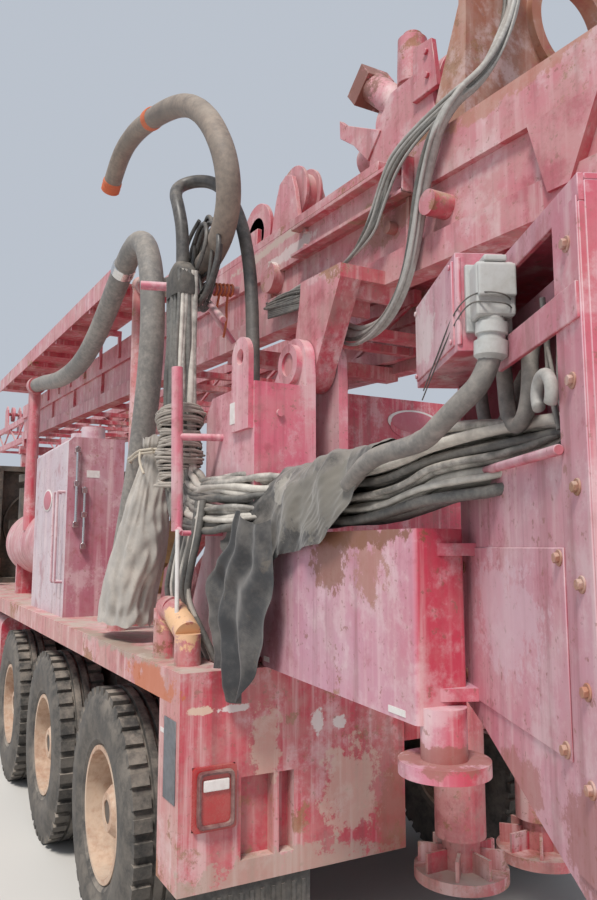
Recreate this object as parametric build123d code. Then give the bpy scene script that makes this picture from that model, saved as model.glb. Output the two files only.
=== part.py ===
"""Truck-mounted drilling rig, in millimetres.

X runs forward, Y to the left and Z up. The dimensions below count X from the rear panel of the
carrier and Z from the ground. The mast is drawn in its own frame: U along it towards the crown,
W away from the truck, both from the pivot pin.
"""
import os
from math import atan2, cos, degrees, hypot, pi, radians, sin, tan

from build123d import *

# Carrier frame and deck
DECK_TOP = 1290
DECK_UNDER = 1180
DECK_FRONT = 9900
HALF_WIDTH = 1280
DECK_PLATE = 10
EDGE_PLATE = 12
RAIL_Y = 430
RAIL_DEPTH = 330
RAIL_FLANGE = 90
RAIL_WALL = 12
RAIL_REAR = 160
CROSS_MEMBER_X = (400, 1745, 3115, 4600, 5600, 6950, 8625, 9850)

# Wheels and axles
TYRE_R = 540
TYRE_W = 300
TWIN_GAP = 40
RIM_R = 285
RIM_WALL = 20
REAR_AXLE_X = (1060, 2430, 3800)
FRONT_AXLE_X = (7900, 9350)
SPINDLE_R = 50
RUNNING_FIT = 0.05
KINGPIN_Y = HALF_WIDTH - 390
KINGPIN_R = 18
SPRING_Y = 500
SPRING_REACH = 660

# Rear body
REAR_SHEET = 12
PANEL_LOW = 584
PANEL_INNER_Y = 370
SIDE_STRIP = 210
LAMP_Y = HALF_WIDTH - 125
LAMP_Z = 880
SOCKET_Y = (850, 1055)
SOCKET_Z = (660, 930)
FLAP_Y = (HALF_WIDTH - 500, HALF_WIDTH - 20)

# Mast pivot columns
PIVOT_X = 30
PIVOT_Z = 2400
PIVOT_PIN_R = 45
COLUMN_X = (130, 380)
COLUMN_HEAD_X = -75
COLUMN_HEAD_Z = (1870, 2300)
CLEVIS_Y = (660, 840)
CHEEK = 40
COLUMN_OUTER_Y = 1050
EYE_AT = (10, 2400)
EYE_BORE = 30

# Mast, in its own frame
REST_TILT = 3.1
MAST_U = (-2030, 8300)
MAST_HALF = 600
EAR_Y = (705, 795)
CHORD_W = (290, 400)
TOP_RAIL_W = (580, 750)
INNER_U = (900, 12200)
INNER_HALF = 450
INNER_W = (340, 720)
PAD_GAP = 0.3
STRING_W = 1300
TABLE_U = -580
TABLE_HALF = 500
TABLE_HOLE = 170
TABLE_TOP = 1660
TRAY_U = (2100, 7500)
TRAY_Y = (640, 1000)

# Mast lift cylinders
LIFT_BASE_X = 3400
LIFT_BASE_Z = 1500
LIFT_Y = 120
LIFT_EYE_U = 1300
LIFT_EYE_W = 170
LIFT_BARREL_R = 80
LIFT_ROD_R = 40
LIFT_NECK_R = 28
LIFT_BARREL_LEN = 2100

# Swinging console arm
ARM_PIN_X = 60
ARM_PIN_Y = 906
ARM_PIN_R = 40
ARM_THICK = 144
ARM_LEN = 1010
ARM_ANGLE = 175
ARM_Z = (1300, 1755)
CONSOLE_X = -1020
CONSOLE_Y = 900
CONSOLE_ANGLE = 155.2
CONSOLE_LEN = 770
CONSOLE_BACK = 80
CONSOLE_DEEP = 250
CONSOLE_TOP = 2340
CONSOLE_WALL = 12
CONSOLE_WINDOW_S = (310, 620)
CONSOLE_WINDOW_Z = (1870, 2290)

# Deck equipment
TANK_X = (2300, 3400)
TANK_Y = (HALF_WIDTH - 430, HALF_WIDTH - 80)
TANK_TOP = 2390
RIGHT_BOX_X = (1500, 4100)
RIGHT_BOX_Y = (50 - HALF_WIDTH, -220)
RIGHT_BOX_TOP = 2665
ENGINE_X = (5500, 7000)
COOLER_X = (7250, 7850)
MAST_REST_U = 8150

# Cab
CAB_X = (10050, 11750)
CAB_HALF = HALF_WIDTH - 30
CAB_LOW = 800
CAB_TOP = 2800
CAB_WALL = 50
DOOR_X = (10300, 11330)
DOOR_Z = (880, 2620)
DOOR_GAP = 5

# Jacks
JACK_R = 95
JACK_ROD_R = 70
FOOT_R = 175
REAR_FOOT_Z = 490
FRONT_FOOT_Z = 430
REAR_JACK = (-120, 205)
FRONT_JACK = (6750, HALF_WIDTH - 190)

# Hoses, with the points of their routes
RISER_D = 130
RISER_Y = 1100
RISER = [(4150, 3070), (3850, 3035), (3550, 2985), (3250, 2940), (2950, 2915), (2650, 2905),
         (2380, 2925), (2120, 2985), (1890, 3070), (1690, 3160), (1500, 3240), (1320, 3290),
         (1160, 3260), (1050, 3130), (990, 2950), (975, 2740), (1010, 2510), (1075, 2290),
         (1150, 2090), (1240, 1910), (1330, 1750), (1400, 1600), (1440, 1450)]
LOOP_D = 100
LOOP = [(1840, 1110, 3820), (1720, 1110, 3895), (1560, 1110, 3945), (1350, 1105, 3940),
        (1110, 1100, 3885), (840, 1100, 3800), (580, 1100, 3690), (380, 1100, 3555),
        (230, 1095, 3400), (140, 1080, 3230), (170, 1050, 3080), (300, 1025, 2985),
        (480, 1005, 2945), (690, 990, 2945), (900, 975, 2975), (1120, 962, 3025),
        (1340, 952, 3090), (1540, 950, 3160)]
BLACK_D = 55
BLACK = [(470, 1135, 2900.3), (470, 1135, 3030), (505, 1145, 3160), (575, 1140, 3255),
         (620, 1100, 3320), (580, 1040, 3340), (480, 990, 3300), (390, 950, 3200),
         (335, 920, 3060), (300, 905, 2900), (280, 900, 2740), (265, 902, 2590),
         (250, 905, 2460), (250, 905, 2341)]
CABLE_D = 44
CABLE = [(-632, 320, 1395), (-632, 320, 1290), (-640, 350, 1190), (-648, 398, 1090),
         (-655, 455, 985), (-662, 528, 885), (-655, 604, 816), (-622, 642, 738),
         (-565, 634, 650), (-520, 630, 545), (-488, 627, 420), (-450, 627, 300),
         (-385, 627, 200), (-290, 627, 130), (-175, 627, 105), (-60, 627, 135),
         (35, 627, 215), (100, 627, 315), (180, 627, 385), (300, 627, 402),
         (420, 627, 398), (540, 627, 398)]
STANDPIPE = (1700, 950, 3212)

NODES = {}


def block(x0, x1, y0, y1, z0, z1):
    """A box between two corners."""
    centre = Pos((x0 + x1) / 2, (y0 + y1) / 2, (z0 + z1) / 2)
    return centre * Box(abs(x1 - x0), abs(y1 - y0), abs(z1 - z0))


def rod(start, end, radius):
    """A round bar between two points."""
    run = Vector(*end) - Vector(*start)
    bar = Cylinder(radius, run.length, align=(Align.CENTER, Align.CENTER, Align.MIN))
    return Plane(origin=start, z_dir=run) * bar


def tube(start, end, outer, inner):
    """A round tube between two points."""
    return rod(start, end, outer) - rod(start, end, inner)


def profile(points, across, low, high):
    """An outline drawn in the two axes other than `across`, and extruded along that axis."""
    place = {
        "x": lambda a, b: (low, a, b),
        "y": lambda a, b: (a, low, b),
        "z": lambda a, b: (a, b, low),
    }[across]
    way = {"x": (1, 0, 0), "y": (0, 1, 0), "z": (0, 0, 1)}[across]
    face = Face(Wire.make_polygon([place(a, b) for a, b in points], close=True))
    return Solid.extrude(face, Vector(*way) * (high - low))


def turned(points, hand=1):
    """A ring whose section is a list of (radius, y), turned about the Y axis."""
    face = Face(Wire.make_polygon([(r, y * hand, 0) for r, y in points], close=True))
    return Solid.revolve(face, 360, Axis.Y)


def joined(first, *rest):
    """One shape from overlapping or touching pieces."""
    return first.fuse(*rest).clean() if rest else first


def mirrored(shape):
    """The same piece on the right-hand side."""
    return mirror(shape, about=Plane.XZ)


def pair(shape):
    """A left-hand piece and its mirror image, apart from each other."""
    return Compound(children=[*shape.solids(), *mirrored(shape).solids()])


def group(*shapes):
    """Separate solids that share a node."""
    return Compound(children=[solid for shape in shapes for solid in shape.solids()])


def on_mast(shape):
    """A piece from the mast's own frame to its lowered place on the truck."""
    return Pos(PIVOT_X, 0, PIVOT_Z) * Rot(0, -REST_TILT, 0) * shape


def chassis():
    """Two channel rails and the cross members between them."""
    low = DECK_UNDER - RAIL_DEPTH
    rail = block(RAIL_REAR, CAB_X[1] - 150, RAIL_Y - RAIL_FLANGE, RAIL_Y, low, DECK_UNDER)
    rail -= block(RAIL_REAR, CAB_X[1] - 150, RAIL_Y - RAIL_FLANGE, RAIL_Y - RAIL_WALL,
                  low + RAIL_WALL, DECK_UNDER - RAIL_WALL)
    members = [
        block(x - 60, x + 60, -RAIL_Y + RAIL_WALL, RAIL_Y - RAIL_WALL, low + 60, low + 260)
        for x in CROSS_MEMBER_X
    ]
    NODES["chassis_frame"] = joined(rail, mirrored(rail), *members)


def deck():
    """Checker plate on edge channels, with the holes that the front jacks pass through."""
    skirt = EDGE_PLATE
    plate = block(0, DECK_FRONT, -HALF_WIDTH, HALF_WIDTH, DECK_TOP - DECK_PLATE, DECK_TOP)
    edges = [
        block(0, DECK_FRONT, HALF_WIDTH - skirt, HALF_WIDTH, DECK_UNDER, DECK_TOP - DECK_PLATE),
        block(0, DECK_FRONT, -HALF_WIDTH, skirt - HALF_WIDTH, DECK_UNDER, DECK_TOP - DECK_PLATE),
    ]
    for x in (0, DECK_FRONT - skirt):
        edges.append(block(x, x + skirt, -HALF_WIDTH, HALF_WIDTH, DECK_UNDER,
                           DECK_TOP - DECK_PLATE))
    beams = [
        block(x - 30, x + 30, -HALF_WIDTH + skirt, HALF_WIDTH - skirt, DECK_UNDER,
              DECK_TOP - DECK_PLATE)
        for x in (700, 1745, 3115, 4400, 5400, 6300, 7200, 8625, 9500)
    ]
    floor = joined(plate, *edges, *beams)
    for side in (1, -1):
        x, y = FRONT_JACK[0], FRONT_JACK[1] * side
        floor -= rod((x, y, DECK_UNDER - 10), (x, y, DECK_TOP + 10), JACK_R + 1)
    NODES["deck"] = floor


def rear_body():
    """Rear panels with folded side strips, recessed lamps and ribbed rubber flaps."""
    half = joined(
        block(0, REAR_SHEET, PANEL_INNER_Y, HALF_WIDTH, PANEL_LOW, DECK_UNDER),
        block(0, SIDE_STRIP, HALF_WIDTH - REAR_SHEET, HALF_WIDTH, PANEL_LOW, DECK_UNDER),
        block(0, RAIL_REAR, PANEL_INNER_Y, PANEL_INNER_Y + 12, PANEL_LOW + 60, DECK_UNDER),
        block(0, 60, PANEL_INNER_Y, HALF_WIDTH, PANEL_LOW, PANEL_LOW + 10),
    )
    lamp_hole = block(-5, REAR_SHEET + 5, LAMP_Y - 78, LAMP_Y + 78, LAMP_Z - 103, LAMP_Z + 103)
    y0, y1 = SOCKET_Y
    z0, z1 = SOCKET_Z
    wall, depth = 10, 60
    socket_hole = block(-5, REAR_SHEET + 5, y0, y1, z0, z1)
    socket_tray = joined(
        block(0, depth, y0 - wall, y1 + wall, z0 - wall, z1 + wall)
        - block(-5, depth - wall, y0, y1, z0, z1),
        block(0, depth - wall, y0 + 60, y0 + 80, z0, z1),
    )
    half = joined(half - lamp_hole - socket_hole, socket_tray)
    cross = block(40, 100, -PANEL_INNER_Y, PANEL_INNER_Y, 960, DECK_UNDER)
    NODES["rear_body"] = joined(half, mirrored(half), cross)
    lamp = block(-14, 50, LAMP_Y - 78, LAMP_Y + 78, LAMP_Z - 103, LAMP_Z + 103)
    lamp = fillet(lamp.edges().filter_by(Axis.X), 14)
    lens = block(-20, -8, LAMP_Y - 58, LAMP_Y + 58, LAMP_Z - 83, LAMP_Z + 83)
    lens = fillet(lens.edges().filter_by(Axis.X), 10)
    NODES["lamps"] = pair(joined(lamp, lens))
    y0, y1 = FLAP_Y
    ribs = [
        block(REAR_SHEET - 6, REAR_SHEET, y, y + 14, 180, PANEL_LOW - 30)
        for y in range(y0 + 20, y1 - 20, 40)
    ]
    flap = joined(block(REAR_SHEET, REAR_SHEET + 10, y0, y1, 170, PANEL_LOW - 0.3), *ribs)
    NODES["mud_flaps"] = pair(flap)


def twin_wheel(hand):
    """Two tyres on back-to-back dished rims, and their hub, about the Y axis."""
    outer = (HALF_WIDTH - TYRE_W, HALF_WIDTH)
    inner = (outer[0] - TWIN_GAP - TYRE_W, outer[0] - TWIN_GAP)
    pieces = [tyre_ring(*outer, hand), tyre_ring(*inner, hand)]
    barrel_in = RIM_R - RIM_WALL
    middle = outer[0] - TWIN_GAP / 2
    pieces.append(turned([(barrel_in, inner[0] + 20), (RIM_R, inner[0] + 20),
                          (RIM_R, outer[1] - 20), (barrel_in, outer[1] - 20)], hand))
    bore = SPINDLE_R + RUNNING_FIT
    pieces.append(turned([(bore, middle - 40), (150, middle - 40), (190, middle - 14),
                          (barrel_in, middle - 14), (barrel_in, middle + 14),
                          (190, middle + 14), (150, middle + 60), (118, middle + 80),
                          (110, middle + 240), (80, middle + 270), (bore, middle + 270)], hand))
    return joined(*pieces)


def steer_wheel(hand):
    """One tyre on a bulging disc wheel, and its hub, about the Y axis."""
    outer = (HALF_WIDTH - TYRE_W, HALF_WIDTH)
    barrel_in = RIM_R - RIM_WALL
    bore = SPINDLE_R + RUNNING_FIT
    face = outer[1] - 85
    pieces = [
        tyre_ring(*outer, hand),
        turned([(barrel_in, outer[0] + 20), (RIM_R, outer[0] + 20),
                (RIM_R, outer[1] - 20), (barrel_in, outer[1] - 20)], hand),
        turned([(bore, face - 130), (120, face - 130), (130, face - 20), (190, face),
                (barrel_in, face - 50), (barrel_in, face - 25), (190, face + 25),
                (120, face + 25), (110, face + 60), (bore, face + 60)], hand),
    ]
    return joined(*pieces)


def tyre_ring(low, high, hand):
    """A tyre between two faces."""
    return turned([(RIM_R, low + 30), (RIM_R + 70, low), (TYRE_R - 60, low), (TYRE_R, low + 42),
                   (TYRE_R, high - 42), (TYRE_R - 60, high), (RIM_R + 70, high),
                   (RIM_R, high - 30)], hand)


def rear_axles():
    """Three axle beams with their differentials, and the springs under the frame."""
    parts = []
    spindle_end = HALF_WIDTH - TYRE_W - TWIN_GAP / 2 + 265
    for x in REAR_AXLE_X:
        beam = joined(
            rod((x, -600, TYRE_R), (x, 600, TYRE_R), 75),
            rod((x, -spindle_end, TYRE_R), (x, spindle_end, TYRE_R), SPINDLE_R),
            rod((x, -130, TYRE_R), (x, 130, TYRE_R), 215),
            *[block(x - 70, x + 70, side * SPRING_Y - 45, side * SPRING_Y + 45, TYRE_R,
                    TYRE_R + 130) for side in (1, -1)],
        )
        parts.append(beam)
    springs = [
        profile([(x - SPRING_REACH, 850), (x - SPRING_REACH, 810), (x - 90, TYRE_R + 130),
                 (x + 90, TYRE_R + 130), (x + SPRING_REACH, 810), (x + SPRING_REACH, 850),
                 (x + 70, TYRE_R + 190), (x - 70, TYRE_R + 190)],
                "y", side * SPRING_Y - 40, side * SPRING_Y + 40)
        for x in REAR_AXLE_X for side in (1, -1)
    ]
    between = [(a + b) / 2 for a, b in zip(REAR_AXLE_X, REAR_AXLE_X[1:])]
    hangers = [
        block(x - 40, x + 40, side * RAIL_Y, side * (SPRING_Y + 40), 800, 1000)
        for x in (REAR_AXLE_X[0] - SPRING_REACH, *between, REAR_AXLE_X[-1] + SPRING_REACH)
        for side in (1, -1)
    ]
    NODES["rear_axles"] = joined(parts[0], *parts[1:], *springs, *hangers)


def front_axles():
    """Two steered beams with kingpin bosses, leaf springs and hangers."""
    pieces = []
    for x in FRONT_AXLE_X:
        pieces.append(block(x - 50, x + 50, -780, 780, 470, 590))
        for side in (1, -1):
            y = side * KINGPIN_Y
            pieces.append(block(x - 40, x + 40, side * 760, y, 480, 600))
            pieces.append(rod((x, y, 470), (x, y, 610), 46))
            pieces.append(rod((x, y, 415), (x, y, 665), KINGPIN_R))
            spring_y = side * SPRING_Y
            pieces.append(profile(
                [(x - 620, 850), (x - 620, 820), (x - 80, 590), (x + 80, 590),
                 (x + 620, 820), (x + 620, 850), (x + 70, 640), (x - 70, 640)],
                "y", spring_y - 40, spring_y + 40))
            for end in (-620, 620):
                pieces.append(block(x + end - 35, x + end + 35, side * RAIL_Y, spring_y + 40,
                                    800, 1000))
    NODES["front_axles"] = joined(*pieces)


def knuckle(x, side):
    """A yoke on the kingpin with the spindle of a steered wheel."""
    y = side * KINGPIN_Y
    plates = [rod((x, y, z), (x, y, z + 35), 46) for z in (425, 620)]
    web_in, web_out = y + side * 55, y + side * 85
    arms = [block(x - 40, x + 40, y, web_out, z, z + 35) for z in (425, 620)]
    web = block(x - 40, x + 40, web_in, web_out, 425, 655)
    spindle = rod((x, web_in, TYRE_R), (x, side * (HALF_WIDTH - 40), TYRE_R), SPINDLE_R)
    yoke = joined(*plates, *arms, web, spindle)
    return yoke - rod((x, y, 400), (x, y, 700), KINGPIN_R + RUNNING_FIT)


def running_gear():
    """All wheels, with the knuckles of the steered ones."""
    for hand, side in ((1, "left"), (-1, "right")):
        twin = twin_wheel(hand)
        single = steer_wheel(hand)
        for number, x in enumerate(REAR_AXLE_X, 1):
            NODES[f"wheel_rear_{number}_{side}"] = Pos(x, 0, TYRE_R) * twin
        for number, x in enumerate(FRONT_AXLE_X, 1):
            NODES[f"wheel_front_{number}_{side}"] = Pos(x, 0, TYRE_R) * single
            NODES[f"knuckle_{number}_{side}"] = knuckle(x, hand)


def cab_outline(inset=0):
    """Side outline of the cab, drawn in by `inset` for the hollow inside."""
    rear, front = CAB_X
    return [
        (rear + inset, CAB_LOW + inset), (front - 60 - inset, CAB_LOW + inset),
        (front - inset, CAB_LOW + 180), (front - inset, 1560),
        (front - 220 - inset, CAB_TOP - 60 - inset / 2), (front - 330 - inset, CAB_TOP - inset),
        (rear + inset, CAB_TOP - inset),
    ]


def cab():
    """The hollow cab shell, its panes, seats and controls, and its two doors."""
    shell = profile(cab_outline(), "y", -CAB_HALF, CAB_HALF)
    inside = CAB_HALF - CAB_WALL
    shell -= profile(cab_outline(CAB_WALL), "y", -inside, inside)
    tunnel_top = DECK_UNDER + 60
    shell = joined(shell, block(CAB_X[0] + 10, CAB_X[1] - 60, -520, 520, CAB_LOW, tunnel_top))
    shell -= block(CAB_X[0] - 10, CAB_X[1] - 100, -480, 480, CAB_LOW - 10, DECK_UNDER + 5)
    panes = []
    for y0, y1 in ((40, 1150), (-1150, -40)):
        opening = block(CAB_X[1] - 400, CAB_X[1] + 20, y0, y1, 1640, 2620)
        slab = profile(cab_outline(15), "y", y0 + 0.3, y1 - 0.3)
        slab -= profile(cab_outline(27), "y", y0 - 5, y1 + 5)
        panes.append(slab & block(CAB_X[1] - 400, CAB_X[1] + 20, y0, y1, 1640.3, 2619.7))
        shell -= opening
        shell -= block(CAB_X[0] - 10, CAB_X[0] + CAB_WALL + 10, y0 + 200, y1 - 200, 1750, 2450)
        panes.append(block(CAB_X[0] + 15, CAB_X[0] + 27, y0 + 200.3, y1 - 200.3, 1750.3, 2449.7))
    for side, name in ((1, "left"), (-1, "right")):
        outer, inner = side * CAB_HALF, side * (CAB_HALF - CAB_WALL)
        x0, x1 = DOOR_X
        z0, z1 = DOOR_Z
        shell -= block(x0, x1, outer + side * 20, inner - side * 20, z0, z1)
        door = block(x0 + DOOR_GAP, x1 - DOOR_GAP, outer, inner, z0 + DOOR_GAP, z1 - DOOR_GAP)
        door -= block(x0 + 90, x1 - 90, outer + side * 5, inner - side * 5, 1700, z1 - 90)
        hinge_y = outer + side * 8
        for z in (1000, 2300):
            door = joined(door, rod((x1, hinge_y, z), (x1, hinge_y, z + 60), 12))
            shell -= rod((x1, hinge_y, z - 2), (x1, hinge_y, z + 60.3), 14)
            shell = joined(shell, rod((x1, hinge_y, z + 60.3), (x1, hinge_y, z + 110), 12))
            door -= rod((x1, hinge_y, z + 60.3), (x1, hinge_y, z + 112), 14)
        handle = block(x0 + 50, x0 + 170, outer, outer + side * 30, 1560, 1590)
        NODES[f"door_{name}"] = joined(door, handle)
        pane_in = outer - side * 20
        NODES[f"door_glass_{name}"] = block(x0 + 90.3, x1 - 90.3, pane_in, pane_in - side * 8,
                                            1700.3, z1 - 90.3)
    NODES["cab_shell"] = shell
    NODES["cab_glass"] = group(*panes)
    seats = []
    for y in (870, -870):
        base = block(10300, 10900, y - 250, y + 250, 1250, 1390)
        back = block(10290, 10400, y - 240, y + 240, 1380, 2000)
        seats.append(joined(fillet(base.edges().filter_by(Axis.Z), 40), back))
    NODES["cab_seats"] = group(*seats)
    pedestals = [block(10450, 10850, y - 150, y + 150, CAB_LOW + CAB_WALL, 1250)
                 for y in (870, -870)]
    dash = profile([(11350, 1240.3), (CAB_X[1] - CAB_WALL, 1240.3), (CAB_X[1] - CAB_WALL, 1500),
                    (11450, 1500), (11350, 1420)], "y", -inside, inside)
    column = rod((11400, 870, 1380), (11110, 870, 1587), 28)
    wheel = Plane(origin=(11110, 870, 1587), z_dir=(-280, 0, 200)) * Torus(210, 14)
    spoke = Plane(origin=(11110, 870, 1587), z_dir=(-280, 0, 200)) * Box(420, 40, 16)
    NODES["cab_controls"] = group(joined(dash, column, wheel, spoke), *pedestals)


def front_end():
    """The front bumper with its lamps, and the steps below the doors."""
    x0 = CAB_X[1] - 40
    bumper = profile([(x0, 520), (x0 + 180, 520), (x0 + 220, 560), (x0 + 220, 760),
                      (x0 + 180, CAB_LOW - 10), (x0, CAB_LOW - 10)], "y", -CAB_HALF, CAB_HALF)
    for side in (1, -1):
        for y in (980, 780):
            bumper -= rod((x0 + 190, side * y, 660), (x0 + 230, side * y, 660), 85)
    rail_low = DECK_UNDER - RAIL_DEPTH
    brackets = [block(CAB_X[1] - 500, x0 - 60, side * 370, side * 418, 620, rail_low)
                for side in (1, -1)]
    brackets += [block(x0 - 60, x0 + 20, side * 370, side * 418, 620, CAB_LOW - 10)
                 for side in (1, -1)]
    NODES["front_bumper"] = joined(bumper, *brackets)
    lamps = [rod((x0 + 190, side * y, 660), (x0 + 214, side * y, 660), 84.7)
             for side in (1, -1) for y in (980, 780)]
    NODES["lamps"] = group(NODES["lamps"], *lamps)
    steps = []
    for side in (1, -1):
        steps.append(block(10500, 11100, side * 900, side * 1230, 440, 470))
        steps += [block(x, x + 30, side * 1150, side * 1200, 470, CAB_LOW)
                  for x in (10500, 11070)]
    NODES["cab_shell"] = joined(NODES["cab_shell"], *steps)


def side_tanks():
    """The fuel tank on the left and the tool box on the right, under the deck."""
    def saddle(side):
        bar = [block(x, x + 60, side * RAIL_Y, side * 1180, 1120, DECK_UNDER)
               for x in (4750, 5850)]
        body = block(4560, 6060, side * 640, side * 1240, 600, 1120)
        return fillet(body.edges().filter_by(Axis.X), 90 if side > 0 else 12), bar
    left, left_bars = saddle(1)
    right, right_bars = saddle(-1)
    NODES["side_tanks"] = group(joined(left, *left_bars), joined(right, *right_bars))


def columns():
    """The two mast pivot columns: a clevis for the mast ear beside a box head with an eye."""
    x0, x1 = COLUMN_X
    inner, outer = CLEVIS_Y
    head_x = COLUMN_HEAD_X
    under, top = COLUMN_HEAD_Z
    foot = [(x0, DECK_TOP), (x1 + 250, DECK_TOP), (x1, DECK_TOP + 420)]
    cheek = [*foot, (x1, top - 120), (PIVOT_X + 100, PIVOT_Z + 20), (PIVOT_X - 100, PIVOT_Z + 20),
             (head_x, PIVOT_Z - 60), (head_x, under), (x0, under)]
    box = [*foot, (x1, top - 60), (x1 - 60, top), (head_x, top), (head_x, under), (x0, under)]
    left = joined(
        *[joined(profile(cheek, "y", y, y + CHEEK),
                 rod((PIVOT_X, y, PIVOT_Z), (PIVOT_X, y + CHEEK, PIVOT_Z), 102))
          for y in (inner, outer - CHEEK)],
        rod((PIVOT_X, outer, PIVOT_Z), (PIVOT_X, outer + 25, PIVOT_Z), 78),
        block(x1 - 30, x1, inner, outer, DECK_TOP, top - 120),
        block(x0, x1, inner, outer, DECK_TOP, DECK_TOP + 30),
        block(head_x + 30, x1, inner + CHEEK, outer - CHEEK, under, under + 30),
        profile(box, "y", outer, COLUMN_OUTER_Y),
    )
    eye_x, eye_z = EYE_AT
    plate = joined(
        block(eye_x - 75, eye_x + 75, COLUMN_OUTER_Y, COLUMN_OUTER_Y + 20, eye_z - 270, eye_z),
        rod((eye_x, COLUMN_OUTER_Y, eye_z), (eye_x, COLUMN_OUTER_Y + 20, eye_z), 75))
    plate -= rod((eye_x, COLUMN_OUTER_Y - 5, eye_z), (eye_x, COLUMN_OUTER_Y + 25, eye_z), EYE_BORE)
    left = joined(left, plate)
    left -= rod((PIVOT_X, inner - 10, PIVOT_Z), (PIVOT_X, outer + 40, PIVOT_Z),
                PIVOT_PIN_R + RUNNING_FIT)
    bolts = [rod((head_x - 12, y, z), (head_x, y, z), 14) for y, z in ((950, 2190), (950, 1960))]
    left = joined(left, *bolts)
    port = rod((BLACK[-1][0], BLACK[-1][1], top), (*BLACK[-1][:2], BLACK[-1][2] - 0.3), 34)
    stand_x, stand_y = 275, COLUMN_OUTER_Y + 160
    stand = joined(rod((stand_x - 15, stand_y, 1770), (stand_x + 20, stand_y, 2405), 22),
                   rod((stand_x, stand_y, 2130), (stand_x - 60, COLUMN_OUTER_Y - 5, 2130), 14),
                   rod((stand_x - 15, stand_y, 1784), (stand_x - 70, stand_y, 1762), 10),
                   rod((stand_x - 70, stand_y, 1762), (stand_x - 70, COLUMN_OUTER_Y - 5, 1762),
                       10))
    NODES["mast_columns"] = group(joined(left, stand, port), mirrored(left))
    brackets = []
    for side in (1, -1):
        for y in (55, 155):
            plate = joined(
                profile([(LIFT_BASE_X - 130, DECK_TOP), (LIFT_BASE_X + 130, DECK_TOP),
                         (LIFT_BASE_X + 55, LIFT_BASE_Z), (LIFT_BASE_X - 55, LIFT_BASE_Z)],
                        "y", side * y, side * (y + 30)),
                rod((LIFT_BASE_X, side * y, LIFT_BASE_Z),
                    (LIFT_BASE_X, side * (y + 30), LIFT_BASE_Z), 55))
            brackets.append(plate)
        brackets.append(rod((LIFT_BASE_X, side * 55, LIFT_BASE_Z),
                            (LIFT_BASE_X, side * 185, LIFT_BASE_Z), 30))
    NODES["mast_columns"] = group(NODES["mast_columns"], joined(*brackets))


def mast_rest():
    """The portal that the lowered mast lies on."""
    local = MAST_REST_U
    x = PIVOT_X + local * cos(radians(REST_TILT)) - CHORD_W[0] * sin(radians(REST_TILT))
    z = PIVOT_Z + local * sin(radians(REST_TILT)) + CHORD_W[0] * cos(radians(REST_TILT))
    legs = [block(x - 60, x + 60, side * 550 - 60, side * 550 + 60, DECK_TOP, z - 150)
            for side in (1, -1)]
    beam = block(x - 70, x + 70, -640, 640, z - 190, z - 90)
    pads = [Pos(PIVOT_X, 0, PIVOT_Z) * Rot(0, -REST_TILT, 0)
            * block(local - 80, local + 80, side * 550 - 48, side * 550 + 48,
                    CHORD_W[0] - 100, CHORD_W[0] - PAD_GAP) for side in (1, -1)]
    feet = [block(x - 110, x + 110, side * 550 - 110, side * 550 + 110, DECK_TOP, DECK_TOP + 20)
            for side in (1, -1)]
    NODES["mast_rest"] = joined(*legs, beam, *pads, *feet)


def hydraulic_cabinet():
    """Cabinet beside the mast with a bevelled top, filter heads and grab bars."""
    x0, x1 = TANK_X
    y0, y1 = TANK_Y
    body = profile([(y0, DECK_TOP), (y1, DECK_TOP), (y1, TANK_TOP - 30), (y1 - 30, TANK_TOP),
                    (y0, TANK_TOP)], "x", x0, x1)
    heads = [rod((x, 1010, TANK_TOP), (x, 1010, TANK_TOP + 90), 75) for x in (2480, 2800, 3120)]
    bars = []
    for x in (2360, 2470):
        bars.append(rod((x, y1 + 45, 1500), (x, y1 + 45, 2050), 9))
        bars += [rod((x, y1 - 5, z), (x, y1 + 45, z), 9) for z in (1500, 2050)]
    NODES["hydraulic_cabinet"] = joined(body, *heads, *bars)


def right_cabinet():
    """Water and tool cabinet on the right of the deck, with a plain raised oval at the rear."""
    x0, x1 = RIGHT_BOX_X
    y0, y1 = RIGHT_BOX_Y
    body = block(x0 + 40, x1, y0, y1 - 330, DECK_TOP, RIGHT_BOX_TOP - 25)
    rear = block(x0, x0 + 40, y0, y1, DECK_TOP, RIGHT_BOX_TOP)
    sign = Plane(origin=(x0, y0 + 420, RIGHT_BOX_TOP - 175), x_dir=(0, -1, 0), z_dir=(-1, 0, 0))
    oval = extrude(sign * Ellipse(160, 80), 5)
    panels = [block(x, x + 560, y0 - 10, y0, DECK_TOP + 80, RIGHT_BOX_TOP - 120)
              for x in (1640, 2260, 2880)]
    NODES["right_cabinet"] = joined(body, rear, oval, *panels)


def compressor():
    """Screw compressor with its cylindrical receiver on the left deck."""
    receiver = rod((3700, 860, 1750), (5200, 860, 1750), 290)
    dished = joined(receiver, rod((3640, 860, 1750), (5260, 860, 1750), 200))
    saddles = [block(x, x + 60, 640, 1080, DECK_TOP, 1560) for x in (3900, 4950)]
    coupling, far = fitting([(x, RISER_Y, z) for x, z in RISER], RISER_D / 2 + 8, 110)
    outlet = joined(coupling, Pos(*far) * Sphere(RISER_D / 2 + 8),
                    rod((far[0], RISER_Y, 1850), far, 50))
    NODES["air_receiver"] = joined(dished, *saddles, outlet)
    screw = joined(block(4300, 5200, -330, 330, DECK_TOP + 60, 1950),
                   rod((4250, 130, 1800), (5250, 130, 1800), 230),
                   rod((4250, -150, 1750), (5250, -150, 1750), 190),
                   *[block(x, x + 100, -380, 380, DECK_TOP, DECK_TOP + 60)
                     for x in (4350, 5050)])
    NODES["compressor"] = screw


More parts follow.
